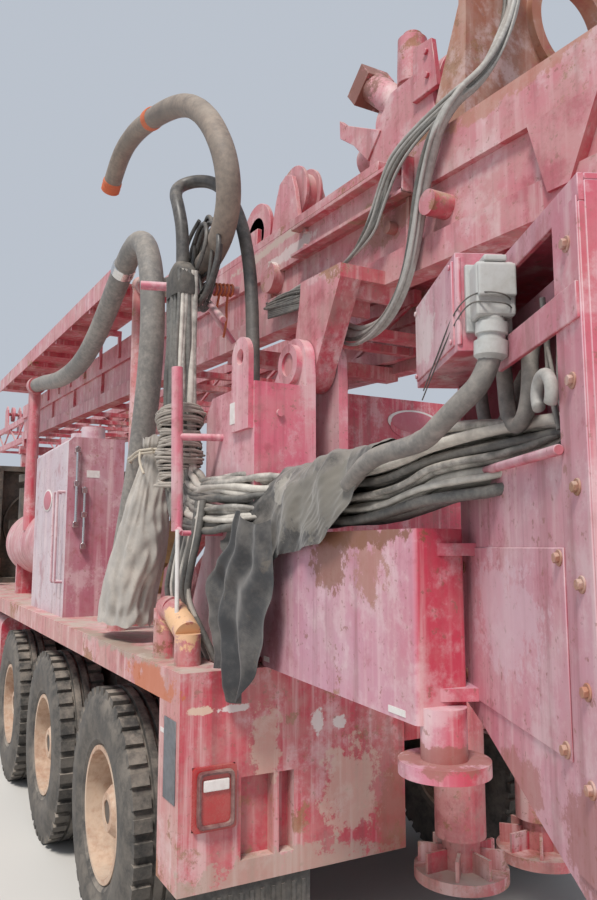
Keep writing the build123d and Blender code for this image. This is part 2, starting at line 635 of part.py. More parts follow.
def engine():
    """The deck engine with heads, sump, manifold, fan shroud and mounting feet."""
    x0, x1 = ENGINE_X
    block_part = profile([(-260, 1420), (260, 1420), (380, 1750), (380, 2000), (230, 2180),
                          (-230, 2180), (-380, 2000), (-380, 1750)], "x", x0, x1)
    heads = [block(x0 + 80 + 230 * n, x0 + 270 + 230 * n, side * 120, side * 360, 2100, 2240)
             for n in range(6) for side in (1, -1)]
    sump = block(x0 + 150, x1 - 150, -200, 200, DECK_TOP + 20, 1420)
    feet = [block(x, x + 140, side * 200, side * 460, DECK_TOP, 1470)
            for x in (x0 + 100, x1 - 240) for side in (1, -1)]
    bell = rod((x0 - 180, 0, 1750), (x0, 0, 1750), 300)
    shaft = rod((5250, 0, 1750), (x0 - 180, 0, 1750), 70)
    NODES["engine"] = joined(block_part, *heads, sump, *feet, bell, shaft)
    muffler = rod((5600, -700, 2450), (6700, -700, 2450), 150)
    stack = rod((6600, -700, 2450), (6600, -700, 2900), 65)
    legs = [block(x, x + 50, -740, -660, DECK_TOP, 2320) for x in (5750, 6450)]
    inlet = rod((6100, -380, 2100), (6100, -700, 2400), 60)
    exhaust = joined(muffler, stack, *legs, inlet - NODES["engine"])
    cleaners = []
    for x in (5700, 6350):
        cleaners.append(joined(rod((x, 700, 1750), (x, 700, 2350), 180),
                               rod((x, 700, 2350), (x, 700, 2420), 120),
                               rod((x, 700, 2420), (x, 700, 2500), 190),
                               block(x - 60, x + 60, 640, 760, DECK_TOP, 1760)))
    NODES["intake_and_exhaust"] = group(exhaust, *cleaners)


def cooler():
    """Cooling pack with a deep frame, fan rings and vertical fins."""
    x0, x1 = COOLER_X
    frame = block(x0, x1, -1000, 1000, DECK_TOP, 2680)
    frame -= block(x0 - 5, x0 + 200, -940, 940, DECK_TOP + 60, 2620)
    frame -= block(x1 - 200, x1 + 5, -940, 940, DECK_TOP + 60, 2620)
    fins = [block(x1 - 190, x1 - 20, y, y + 10, DECK_TOP + 60, 2620)
            for y in range(-900, 901, 100)]
    rings = [joined(rod((x0 + 120, y, 1980), (x0 + 200, y, 1980), 430)
                    - rod((x0 + 110, y, 1980), (x0 + 210, y, 1980), 410),
                    rod((x0 + 120, y, 1980), (x0 + 200, y, 1980), 90),
                    *[Pos(x0 + 160, y, 1980) * Rot(60 * n, 0, 0) * Rot(0, 0, 25)
                      * Pos(0, 250, 0) * Box(12, 345, 110) for n in range(6)])
             for y in (-470, 470)]
    NODES["cooling_pack"] = joined(frame, *fins, *rings)


def mast_lower():
    """The outer mast section: two side girders, under-side members, ears and pivot pins."""
    u0, u1 = MAST_U
    inner_face = 500
    side = joined(
        block(u0, u1, inner_face, MAST_HALF, *CHORD_W),
        block(u0, u1, MAST_HALF - 80, MAST_HALF, *TOP_RAIL_W),
        block(u0, u1, MAST_HALF - 40, MAST_HALF - 25, CHORD_W[1], TOP_RAIL_W[0]),
        *[block(u, u + 16, MAST_HALF - 25, MAST_HALF, CHORD_W[1], TOP_RAIL_W[0])
          for u in range(-1500, 8200, 1100)],
    )
    ear = joined(
        block(-260, 40, inner_face, EAR_Y[1], CHORD_W[0], CHORD_W[0] + 50),
        profile([(-260, CHORD_W[0]), (40, CHORD_W[0]), (95, -20), (-95, -20)], "y", *EAR_Y),
        rod((0, EAR_Y[0], 0), (0, EAR_Y[1], 0), 98),
        *[profile([(u - 10, CHORD_W[0] - 60), (u + 10, CHORD_W[0] - 60), (u + 10, CHORD_W[0] + 4),
                   (u - 10, CHORD_W[0] + 4)], "y", inner_face, EAR_Y[1]) for u in (-220, 0)],
        rod((0, CLEVIS_Y[0] - 15, 0), (0, CLEVIS_Y[1] + 15, 0), PIVOT_PIN_R),
    )
    pads = [block(u, u + 200, INNER_HALF + PAD_GAP, inner_face + 70, w, w + 60)
            for u in (1200, 4200, 7900) for w in (350, 620)]
    boss = [rod((u, MAST_HALF - 30, w), (u, MAST_HALF + reach, w), r)
            for u, w, r, reach in ((-580, 480, 43, 60), (-280, 500, 24, 12), (690, 560, 75, 30))]
    gusset = profile([(-1240, TOP_RAIL_W[0]), (-980, TOP_RAIL_W[0]), (-1060, CHORD_W[0] + 60),
                      (-1140, CHORD_W[0] + 60)], "y", MAST_HALF - 30, MAST_HALF + 12)
    half = joined(side, ear, *pads, *boss, gusset)
    under = [block(u - 50, u + 50, -inner_face, inner_face, CHORD_W[0], CHORD_W[0] + 40)
             for u in (-1000, 500, 2600, 4000, 5400, 6800, 8200)]
    foot = block(u0, u0 + 80, -MAST_HALF + 80, MAST_HALF - 80, 600, 700)
    beam = block(LIFT_EYE_U - 60, LIFT_EYE_U + 60, -inner_face - 40, inner_face + 40, 250, 330)
    lugs = []
    for hand in (1, -1):
        for y in (55, 155):
            lugs.append(block(LIFT_EYE_U - 55, LIFT_EYE_U + 55, hand * y, hand * (y + 30),
                              LIFT_EYE_W, 250))
            lugs.append(rod((LIFT_EYE_U, hand * y, LIFT_EYE_W),
                            (LIFT_EYE_U, hand * (y + 30), LIFT_EYE_W), 55))
    NODES["mast_lower"] = on_mast(joined(half, mirrored(half), *under, foot, beam, *lugs))


def mast_upper():
    """The sliding inner mast section with its lattice sides and the crown."""
    u0, u1 = INNER_U
    low, high = INNER_W
    chord = 80
    side = joined(
        block(u0, u1, INNER_HALF - 50, INNER_HALF, low, low + chord),
        block(u0, u1, INNER_HALF - 50, INNER_HALF, high - chord, high),
    )
    bays = []
    step = 700
    count = int((u1 - u0) / step)
    for n in range(count):
        start = u0 + n * step
        a, b = (start, start + step) if n % 2 else (start + step, start)
        bays.append(profile([(a, low + chord - 20), (a + 60, low + chord - 20),
                             (b + 60, high - chord + 20), (b, high - chord + 20)],
                            "y", INNER_HALF - 35, INNER_HALF - 15))
    half = joined(side, *bays)
    cross = [block(u, u + 60, -INNER_HALF + 50, INNER_HALF - 50, low + 5, low + 45)
             for u in range(u0 + 40, u1, 1400)]
    crown = [profile([(u1 - 420, high - 20), (u1, high - 20), (u1, 1100), (u1 - 180, 1180),
                      (u1 - 300, 1100)], "y", y, y + 25) for y in (-330, -120, 95, 305)]
    crown.append(block(u1 - 420, u1, -INNER_HALF, INNER_HALF, high - 30, high))
    crown.append(rod((u1 - 170, -330, 1040), (u1 - 170, 330, 1040), 30))
    crown += [rod((u1 - 170, y, 1040), (u1 - 170, y + 50, 1040), 130) for y in (-250, -25, 195)]
    NODES["mast_upper"] = on_mast(joined(half, mirrored(half), *cross, *crown))


def top_head():
    """The rotary head on its carriage, with motors, swivel and the feed sheaves."""
    deck_w = TOP_RAIL_W[1] + PAD_GAP
    plate = block(-200, 1500, -MAST_HALF, MAST_HALF, deck_w, deck_w + 40)
    cheeks = [profile([(-150, deck_w), (650, deck_w), (550, STRING_W + 120), (50, STRING_W + 120)], "y", y, y + 30)
              for y in (-230, 200)]
    gearbox = rod((-60, 0, STRING_W), (560, 0, STRING_W), 215)
    spindle = rod((-260, 0, STRING_W), (-60, 0, STRING_W), 75)
    swivel = rod((560, 0, STRING_W), (900, 0, STRING_W), 95)
    motors = [joined(rod((60, y, STRING_W + 230), (430, y, STRING_W + 230), 85),
                     block(120, 330, y - 60, y + 60, STRING_W + 100, STRING_W + 200))
              for y in (-150, 150)]
    sheave_plates = [profile([(760, deck_w), (1240, deck_w), (1130, 1250), (870, 1250)],
                             "y", y, y + 25) for y in (215, 345)]
    sheave = rod((1000, 240, 1130), (1000, 345, 1130), 150)
    drum = joined(rod((1380, -260, 1020), (1380, 380, 1020), 110),
                  *[rod((1380, y, 1020), (1380, y + 25, 1020), 190) for y in (-260, 40, 355)],
                  *[block(1300, 1460, y, y + 30, deck_w, 1040) for y in (-300, 380)])
    NODES["top_head"] = on_mast(joined(plate, *cheeks, gearbox, spindle, swivel, *motors,
                                       *sheave_plates, sheave, drum))


def work_table():
    """The table across the foot of the mast with its slot for the drill string."""
    plate = block(TABLE_U, TABLE_U + 40, -TABLE_HALF, TABLE_HALF, TOP_RAIL_W[1], TABLE_TOP)
    plate -= rod((TABLE_U - 10, 0, STRING_W), (TABLE_U + 50, 0, STRING_W), TABLE_HOLE)
    ribs = [profile([(TABLE_U + 40, TOP_RAIL_W[1]), (TABLE_U + 240, TOP_RAIL_W[1]),
                     (TABLE_U + 40, 1250)], "y", y, y + 20) for y in (-TABLE_HALF, TABLE_HALF - 20)]
    ring = tube((TABLE_U - 30, 0, STRING_W), (TABLE_U + 10, 0, STRING_W), TABLE_HOLE + 45,
                TABLE_HOLE)
    ribs.append(ring)
    seat = block(TABLE_U, TABLE_U + 240, -MAST_HALF, MAST_HALF, TOP_RAIL_W[1],
                 TOP_RAIL_W[1] + 25)
    NODES["work_table"] = on_mast(joined(plate, *ribs, seat))


def hose_tray():
    """The long tray beside the mast that carries the hoses of the head."""
    u0, u1 = TRAY_U
    y0, y1 = TRAY_Y
    floor = block(u0, u1, y0, y1, 830, 838)
    strips = [block(u0, u1, y, y + 10, low, 950) for y, low in ((y1 - 10, 815), (y0, 830))]
    ribs = [block(u, u + 40, MAST_HALF, y1 - 10, 790, 830) for u in range(u0 + 100, u1, 600)]
    posts = [block(u, u + 40, MAST_HALF, MAST_HALF + 20, 620, 790)
             for u in range(u0 + 100, u1, 600)]
    tray = on_mast(joined(floor, *strips, *ribs, *posts))
    NODES["mast_lower"] = joined(NODES["mast_lower"], tray)


def mast_point(u, w, tilt=0):
    """X and Z of a point of the mast, raised by `tilt` degrees from its rest."""
    angle = radians(REST_TILT + tilt)
    return PIVOT_X + u * cos(angle) - w * sin(angle), PIVOT_Z + u * sin(angle) + w * cos(angle)


def lift_cylinders():
    """The barrels and rods that raise the mast, drawn along the line between their eyes."""
    eye_x, eye_z = mast_point(LIFT_EYE_U, LIFT_EYE_W)
    length = hypot(eye_x - LIFT_BASE_X, eye_z - LIFT_BASE_Z)
    ux, uz = (eye_x - LIFT_BASE_X) / length, (eye_z - LIFT_BASE_Z) / length
    barrels, rods = [], []
    for side in (1, -1):
        y = side * LIFT_Y

        def along(distance, offset=0):
            return (LIFT_BASE_X + ux * distance, y + offset, LIFT_BASE_Z + uz * distance)

        barrel = joined(rod(along(70), along(LIFT_BARREL_LEN), LIFT_BARREL_R),
                        rod(along(0, -30), along(0, 30), 60),
                        rod(along(0), along(90), LIFT_NECK_R),
                        rod(along(LIFT_BARREL_LEN - 90), along(LIFT_BARREL_LEN),
                            LIFT_BARREL_R + 4))
        barrel -= rod(along(0, -40), along(0, 40), 30 + RUNNING_FIT)
        barrel -= rod(along(120), along(LIFT_BARREL_LEN + 10), LIFT_ROD_R + RUNNING_FIT)
        barrels.append(barrel & block(0, 9000, y - LIFT_BARREL_R - 4, y + LIFT_BARREL_R + 4,
                                      0, 9000))
        rods.append(joined(rod(along(140), along(length - 115), LIFT_ROD_R),
                           rod(along(length - 125), along(length), LIFT_NECK_R),
                           rod(along(length, -30), along(length, 30), 55)))
    NODES["lift_barrels"] = group(*barrels)
    NODES["lift_rods"] = group(*rods)
    for tilt in (0, 45, 87):
        x, z = mast_point(LIFT_EYE_U, LIFT_EYE_W, tilt)
        reach = hypot(x - LIFT_BASE_X, z - LIFT_BASE_Z)
        rise = degrees(atan2(z - LIFT_BASE_Z, LIFT_BASE_X - x))
        print(f"lift at {tilt} degrees: {reach:.1f} mm at {rise:.2f} degrees")


def console():
    """The swinging arm at the rear with the driller's console on its end."""
    pin_low, pin_high = DECK_TOP, ARM_Z[1] + 70
    NODES["deck"] = joined(
        NODES["deck"],
        rod((ARM_PIN_X, ARM_PIN_Y, pin_low), (ARM_PIN_X, ARM_PIN_Y, pin_high), ARM_PIN_R),
    )
    place = Pos(ARM_PIN_X, ARM_PIN_Y, 0) * Rot(0, 0, ARM_ANGLE)
    low, high = ARM_Z
    start = 80
    beam = block(start, start + ARM_LEN, -ARM_THICK / 2, ARM_THICK / 2, low, high)
    beam = fillet(beam.edges().filter_by(Axis.Z), 12)
    rings = [joined(rod((0, 0, z), (0, 0, z + 70), 64), block(0, start + 10, -50, 50, z, z + 70))
             for z in (low + 20, high - 90)]
    disc_at = start + ARM_LEN
    disc = joined(rod((disc_at, 0, 1190), (disc_at, 0, 1222), 108),
                  rod((disc_at, 0, 1222), (disc_at, 0, low + 40), 55))
    arm = joined(beam, *rings, disc)
    arm -= rod((0, 0, low - 50), (0, 0, high + 100), ARM_PIN_R + RUNNING_FIT)
    at = Pos(CONSOLE_X, CONSOLE_Y, 0) * Rot(0, 0, CONSOLE_ANGLE)
    plates = [at * block(-70, 50, -150, 0, z, z + 30) for z in (1350, 1690)]
    NODES["console_arm"] = joined(place * arm, *plates)
    back, front = -CONSOLE_BACK, CONSOLE_LEN - CONSOLE_BACK
    outline = [(back, 1330), (60, 1300), (front, 1120), (front, CONSOLE_TOP),
               (back, CONSOLE_TOP)]
    inner = [(back + CONSOLE_WALL, 1345), (60, 1315), (front - CONSOLE_WALL, 1140),
             (front - CONSOLE_WALL, CONSOLE_TOP - CONSOLE_WALL),
             (back + CONSOLE_WALL, CONSOLE_TOP - CONSOLE_WALL)]
    housing = profile(outline, "y", 0, CONSOLE_DEEP)
    housing -= profile(inner, "y", CONSOLE_WALL, CONSOLE_DEEP - CONSOLE_WALL)
    window = block(*CONSOLE_WINDOW_S, -5, CONSOLE_WALL + 5, *CONSOLE_WINDOW_Z)
    housing -= window
    s0, s1 = CONSOLE_WINDOW_S
    brace = profile([(s0 - 12, 2010), (s0 - 12, 2050), (s1 + 12, 2210), (s1 + 12, 2170)],
                    "y", 2, 10)
    box_part = fillet(block(-80, 310, -107, 0, 2127, 2346).edges().filter_by(Axis.Y), 8)
    NODES["console_cabinet"] = at * joined(housing, brace, box_part)


def fitting(points, radius, length):
    """A round end piece in line with the first run of a hose, and the place of its far end."""
    start, following = Vector(*points[0]), Vector(*points[1])
    way = (start - following).normalized()
    far = start + way * length
    return rod(tuple(start + way * PAD_GAP), tuple(far), radius), tuple(far)


def hose(name, points, diameter):
    """A hose along straight runs joined by the largest tangent arcs that the runs allow."""
    spots = [Vector(*point) for point in points]
    runs = [b - a for a, b in zip(spots, spots[1:])]
    radii = []
    for run, following in zip(runs, runs[1:]):
        half_turn = radians(run.get_angle(following)) / 2
        radii.append(0.45 * min(run.length, following.length) / tan(half_turn))
    path = FilletPolyline(*spots, radius=radii)
    section = Plane(origin=path @ 0, z_dir=path % 0) * Circle(diameter / 2)
    solid = sweep(section, path)
    ratio = solid.volume / (pi * diameter ** 2 / 4 * path.length)
    print(f"{name}: length {path.length:.0f} mm, least radius {min(radii):.0f} mm, "
          f"volume ratio {ratio:.4f}")
    NODES[name] = solid


def hoses():
    """The large hoses of the mud and air lines, and the pieces that hold their ends."""
    hose("big_hose_riser", [(x, RISER_Y, z) for x, z in RISER], RISER_D)
    hose("big_hose_loop", LOOP, LOOP_D)
    hose("black_hose", BLACK, BLACK_D)
    hose("mast_cable", CABLE, CABLE_D)
    NODES["mast_cable"] = on_mast(NODES["mast_cable"])
    u, y, w = CABLE[0]
    u1, y1, w1 = CABLE[-1]
    ends = joined(block(TABLE_U, u - 30, y - 30, y + 30, w + 0.3, w + 50),
                  block(u1 + 0.3, u1 + 90, MAST_HALF - 30, y1 + 25, w1 - 30, w1 + 30))
    NODES["work_table"] = joined(NODES["work_table"], on_mast(ends.solids()[0]))
    NODES["mast_lower"] = joined(NODES["mast_lower"], on_mast(ends.solids()[1]))
    foot_coupling, far = fitting([(x, RISER_Y, z) for x, z in reversed(RISER)],
                                 RISER_D / 2 + 8, 60)
    stub = joined(foot_coupling, rod((far[0], RISER_Y, DECK_TOP), far, 50))
    bend_coupling, far = fitting(LOOP[::-1], LOOP_D / 2 + 10, 60)
    x0, y0, z0 = STANDPIPE
    pipe = joined(bend_coupling, rod(far, (x0, y0, z0), 46), Pos(x0, y0, z0) * Sphere(52),
                  rod((x0, y0, DECK_TOP), (x0, y0, z0), 46),
                  block(x0 - 90, x0 + 90, y0 - 90, y0 + 90, DECK_TOP, DECK_TOP + 20))
    elbow = joined(rod((180, 1190, DECK_TOP), (180, 1190, 1400), 48),
                   rod((180, 1190, 1400), (330, 1190, 1475), 48),
                   rod((330, 1190, 1475), (410, 1190, 1475), 48),
                   rod((410, 1190, 1475), (410, 1190, DECK_TOP), 52))
    NODES["deck"] = joined(NODES["deck"], stub, pipe, elbow)


def bundles():
    """The packs of small hoses at the hinge and on the arm, and their covers."""
    upright = profile([(390, 2900), (390, 2020), (330, 1960), (190, 1950), (190, 1775),
                       (420, 1775), (545, 1880), (545, 2900)], "y", 1085, 1185)
    NODES["hose_bundle"] = fillet(upright.edges().filter_by(lambda e: e.length > 150), 30)
    place = Pos(ARM_PIN_X, ARM_PIN_Y, 0) * Rot(0, 0, ARM_ANGLE)
    low = ARM_Z[1] + 1
    pack = profile([(210, low), (1040, low), (1300, low + 50), (1300, low + 190),
                    (1000, low + 200), (210, low + 190)], "y", -60, 60)
    pack = place * fillet(pack.edges().filter_by(lambda e: e.length > 150), 30)
    cut = Pos(CONSOLE_X, CONSOLE_Y, 0) * Rot(0, 0, CONSOLE_ANGLE)
    NODES["arm_bundle"] = pack - cut * block(-1500, 1500, -1, 900, 1000, 2400)
    over = low + 205
    cover = profile([(380, low + 192.4), (860, low + 198.5), (860, over + 12), (380, over + 2)],
                    "y", -72, 86)
    side = block(380, 860, 76, 86, low - 40, over)
    tail = profile([(120, 1330), (230, 1330), (420, over - 60), (380, over), (300, over - 20)],
                   "y", 90, 100)
    NODES["arm_cover"] = place * joined(cover, side, block(380, 420, 80, 95, 1700, over), tail)
    tarp = rod((1010, 1165, 1400), (820, 1165, 1880), 105)
    neck = rod((820, 1165, 1880), (660, 1140, 2110), 80)
    collar = block(545.3, 680, 1095, 1175, 2040, 2160)
    NODES["grey_tarp"] = joined(tarp, neck, collar)


def jack_sleeve(x, y, low, high):
    """The outer tube of a jack with its cap."""
    sleeve = tube((x, y, low), (x, y, high), JACK_R, JACK_ROD_R + RUNNING_FIT)
    return joined(sleeve, rod((x, y, high), (x, y, high + 30), JACK_R))


def jacks():
    """Four levelling jacks: sleeves on the rear body and the frame, and legs with webbed feet."""
    x, y = REAR_JACK
    tie = block(x, 40, y - 60, y + 60, 980, 1170) - rod((x, y, 900), (x, y, 1200), JACK_R - 5)
    rear = joined(jack_sleeve(x, y, 640, 1750), tie)
    NODES["rear_body"] = joined(NODES["rear_body"], rear, mirrored(rear))
    x, y = FRONT_JACK
    tie = block(x - 60, x + 60, RAIL_Y, y, 880, 1000) - rod((x, y, 800), (x, y, 1100), JACK_R - 5)
    front = joined(jack_sleeve(x, y, 620, 1560), tie)
    NODES["chassis_frame"] = joined(NODES["chassis_frame"], front, mirrored(front))
    for name, (x, y), low, top in (("rear", REAR_JACK, REAR_FOOT_Z, 1640),
                                   ("front", FRONT_JACK, FRONT_FOOT_Z, 1540)):
        for side, hand in (("left", 1), ("right", -1)):
            at = y * hand
            leg = rod((x, at, low + 40), (x, at, top), JACK_ROD_R)
            foot = rod((x, at, low), (x, at, low + 40), FOOT_R)
            webs = [Pos(x, at, low + 40) * Rot(0, 0, 45 * n)
                    * block(-FOOT_R + 15, FOOT_R - 15, -6, 6, 0, 70) for n in range(4)]
            NODES[f"jack_{name}_{side}"] = joined(leg, foot, *webs)


def build():
    """Every node of the rig, in chassis coordinates."""
    chassis()
    deck()
    rear_body()
    rear_axles()
    front_axles()
    running_gear()
    cab()
    front_end()
    side_tanks()
    columns()
    mast_rest()
    hydraulic_cabinet()
    right_cabinet()
    compressor()
    engine()
    cooler()
    mast_lower()
    mast_upper()
    top_head()
    work_table()
    hose_tray()
    lift_cylinders()
    console()
    jacks()
    hoses()
    bundles()


def main():
    """Centre the rig between the foot of its mast and its crown, and write the parts."""
    build()
    rear = NODES["mast_lower"].bounding_box().min.X
    front = NODES["mast_upper"].bounding_box().max.X
    shift = -(rear + front) / 2
    print(f"chassis coordinates move by {shift:.2f} mm in X")
    os.makedirs("parts", exist_ok=True)
    for name, shape in NODES.items():
        export_step(Pos(shift, 0, 0) * shape, f"parts/{name}.step")


main()
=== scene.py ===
"""Looks of the truck-mounted drilling rig: its finishes, hoses, cloths and small fittings.

Dimensions are the rig's own millimetres, from the carrier's rear panel along X and from the
ground along Z. `chassis`, `on_mast`, `on_arm` and `on_console` turn them into the frame's metres.
"""
import logging
import math
import random
from dataclasses import dataclass, field
from enum import Enum
from math import cos, pi, radians, sin, tau
from typing import Callable

import bmesh
import bpy
from mathutils import Matrix, Vector, noise


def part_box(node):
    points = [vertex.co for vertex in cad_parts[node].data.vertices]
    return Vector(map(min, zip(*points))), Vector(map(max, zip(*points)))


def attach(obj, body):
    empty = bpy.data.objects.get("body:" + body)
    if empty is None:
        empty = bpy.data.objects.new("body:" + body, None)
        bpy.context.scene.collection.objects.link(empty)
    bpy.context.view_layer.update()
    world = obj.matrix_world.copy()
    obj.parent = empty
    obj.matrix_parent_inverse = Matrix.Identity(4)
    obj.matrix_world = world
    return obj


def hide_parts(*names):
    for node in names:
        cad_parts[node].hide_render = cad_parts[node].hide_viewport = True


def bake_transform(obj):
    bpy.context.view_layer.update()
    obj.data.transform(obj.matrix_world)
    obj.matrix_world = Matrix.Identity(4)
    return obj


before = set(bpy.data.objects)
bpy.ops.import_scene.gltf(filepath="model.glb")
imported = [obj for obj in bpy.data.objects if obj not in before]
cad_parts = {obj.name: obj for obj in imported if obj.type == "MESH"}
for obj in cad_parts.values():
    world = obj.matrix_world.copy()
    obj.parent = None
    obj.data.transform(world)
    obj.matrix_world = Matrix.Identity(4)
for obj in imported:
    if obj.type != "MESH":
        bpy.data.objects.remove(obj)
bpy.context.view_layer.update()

LOG = logging.getLogger("rig")
Spot = tuple[float, float, float]
Colour = tuple[float, float, float]
Place = Callable[[float, float, float], Vector]

# Places of the rig, in its own millimetres
REAR_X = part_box("deck")[0].x
PIVOT_X, PIVOT_Z = 30, 2400
REST_TILT = radians(3.1)
ARM_PIN = (60, 906)
ARM_ANGLE = radians(175)
CONSOLE_AT = (-1020, 900)
CONSOLE_ANGLE = radians(155.2)
HALF_WIDTH = 1280
TYRE_R = 540
RIM_R = 285
UP = Vector((0, 0, 1))

# Angles from which an edge is sharp, and from which it is broken
SHARP = radians(34)
BROKEN = radians(40)

BUMP_STRENGTH = 0.7
COAT_ROUGHNESS = 0.35

# The camera that took the photograph
CAMERA_AT = (-2499, 2185, 1711)
CAMERA_YAW = radians(28.43)
CAMERA_PITCH = radians(7.22)
CAMERA_LENS = 30.62
PHOTO_SIZE = (597, 900)


def chassis(x: float, y: float, z: float) -> Vector:
    """A point given in the carrier's millimetres, in the frame's metres."""
    return Vector((REAR_X + x / 1000, y / 1000, z / 1000))


def on_mast(u: float, y: float, w: float) -> Vector:
    """A point given along (u) and away from (w) the lowered mast, from its pivot."""
    along, up = cos(REST_TILT), sin(REST_TILT)
    return chassis(PIVOT_X + u * along - w * up, y, PIVOT_Z + u * up + w * along)


def swung(origin: tuple[float, float], angle: float, a: float, b: float, z: float) -> Vector:
    """A point given in a frame that is turned about Z, a along it and b to its left."""
    x, y = cos(angle), sin(angle)
    return chassis(origin[0] + a * x - b * y, origin[1] + a * y + b * x, z)


def on_arm(u: float, out: float, z: float) -> Vector:
    """A point at u along the console arm and `out` from its middle, away from the carrier."""
    return swung(ARM_PIN, ARM_ANGLE, u, -out, z)


def on_console(s: float, out: float, z: float) -> Vector:
    """A point at s along the console's outer face and `out` in front of that face."""
    return swung(CONSOLE_AT, CONSOLE_ANGLE, s, -out, z)


class Wire:
    """An output of a shader node. Arithmetic on it adds Math nodes."""

    def __init__(self, graph: "Graph", socket: bpy.types.NodeSocket) -> None:
        self.graph, self.socket = graph, socket

    def __add__(self, other: object) -> "Wire":
        return self.graph.math("ADD", self, other)

    def __mul__(self, other: object) -> "Wire":
        return self.graph.math("MULTIPLY", self, other)

    def __sub__(self, other: object) -> "Wire":
        return self.graph.math("SUBTRACT", self, other)

    def __rsub__(self, other: object) -> "Wire":
        return self.graph.math("SUBTRACT", other, self)


class Graph:
    """A short way to write a tree of shader nodes."""

    def __init__(self, tree: bpy.types.NodeTree) -> None:
        self.tree = tree

    def run(self, kind: str, feeds: dict, output: object = 0, **settings: object) -> Wire:
        """Add a node.

        Args:
            kind: Name of the node's type, without its "ShaderNode" start.
            feeds: A wire or a constant by the input's number or name.
            output: Number or name of the wanted output.
            settings: The node's properties.

        Returns:
            The wanted output.
        """
        node = self.tree.nodes.new("ShaderNode" + kind)
        for name, value in settings.items():
            setattr(node, name, value)
        for key, value in feeds.items():
            self.feed(node.inputs[key], value)
        return Wire(self, node.outputs[output])

    def feed(self, socket: bpy.types.NodeSocket, value: object) -> None:
        """Link a wire to a socket, or set the socket's constant."""
        if isinstance(value, Wire):
            self.tree.links.new(value.socket, socket)
        elif isinstance(value, tuple) and len(value) == 3 and socket.type == "RGBA":
            socket.default_value = (*value, 1)
        else:
            socket.default_value = value

    def math(self, kind: str, a: object, b: object = 0.0) -> Wire:
        """The result of a two-value operation."""
        return self.run("Math", {0: a, 1: b}, operation=kind)

    def mix(self, factor: object, a: object, b: object) -> Wire:
        """One colour turning into another."""
        return self.run("Mix", {0: factor, 6: a, 7: b}, 2, data_type="RGBA")

    def step(self, value: object, low: object, high: object) -> Wire:
        """A smooth rise from 0 at `low` to 1 at `high`."""
        return self.run("MapRange", {0: value, 1: low, 2: high}, interpolation_type="SMOOTHSTEP")

    def noise(self, place: Wire, scale: object, detail: float, rough: float = 0.6) -> Wire:
        """Cloudy variation from 0 to 1."""
        return self.run("TexNoise", {"Vector": place, "Scale": scale, "Detail": detail,
                                     "Roughness": rough})

    def stretched(self, place: Wire, scale: tuple) -> Wire:
        """Coordinates scaled along each axis."""
        return self.run("Mapping", {"Vector": place, "Scale": scale})

    def distance(self, place: Wire, middle: Vector, scale: tuple) -> Wire:
        """The scaled distance of a place from a middle."""
        away = self.run("VectorMath", {0: place, 1: middle}, operation="SUBTRACT")
        return self.run("VectorMath", {0: self.stretched(away, scale)}, "Value",
                        operation="LENGTH")

    def bump(self, strength: float, depth: float, height: Wire) -> Wire:
        """A normal from a height, its depth in metres."""
        return self.run("Bump", {"Strength": strength, "Distance": depth, "Height": height})

    def place(self) -> Wire:
        """The place in the frame."""
        return self.run("TexCoord", {}, "Object")

    def axis(self, coordinates: str, letter: str) -> Wire:
        """One part of a texture coordinate."""
        return self.run("SeparateXYZ", {0: self.run("TexCoord", {}, coordinates)}, letter)

    def up(self) -> Wire:
        """How far the surface faces the sky."""
        return self.math("MAXIMUM", self.axis("Normal", "Z"))

    def group(self, tree: bpy.types.NodeTree, values: dict) -> dict[str, Wire]:
        """Add a shared group, and give its outputs by name."""
        node = self.tree.nodes.new("ShaderNodeGroup")
        node.node_tree = tree
        for label, value in values.items():
            self.feed(node.inputs[label], value)
        return {socket.name: Wire(self, socket) for socket in node.outputs}


class Group(Graph):
    """A node group that turns its inputs into a surface's colour, roughness and height."""

    def __init__(self, name: str, **inputs: object) -> None:
        """Make an empty group.

        Args:
            name: Name of the group.
            inputs: Default by name: a number, or a colour of three numbers.
        """
        super().__init__(bpy.data.node_groups.new(name, "ShaderNodeTree"))
        for label, value in inputs.items():
            colour = isinstance(value, tuple)
            socket = self.tree.interface.new_socket(
                label, in_out="INPUT",
                socket_type="NodeSocketColor" if colour else "NodeSocketFloat")
            socket.default_value = (*value, 1) if colour else value
        for label, kind in (("Color", "Color"), ("Roughness", "Float"), ("Height", "Float")):
            self.tree.interface.new_socket(label, in_out="OUTPUT",
                                           socket_type="NodeSocket" + kind)
        node = self.tree.nodes.new("NodeGroupInput")
        self.given = {label: Wire(self, node.outputs[label]) for label in inputs}
        self.result = self.tree.nodes.new("NodeGroupOutput")

    def close(self, colour: Wire, roughness: Wire, height: Wire) -> bpy.types.NodeTree:
        """Feed the group's outputs, and give its tree."""
        for label, wire in (("Color", colour), ("Roughness", roughness), ("Height", height)):
            self.feed(self.result.inputs[label], wire)
        return self.tree


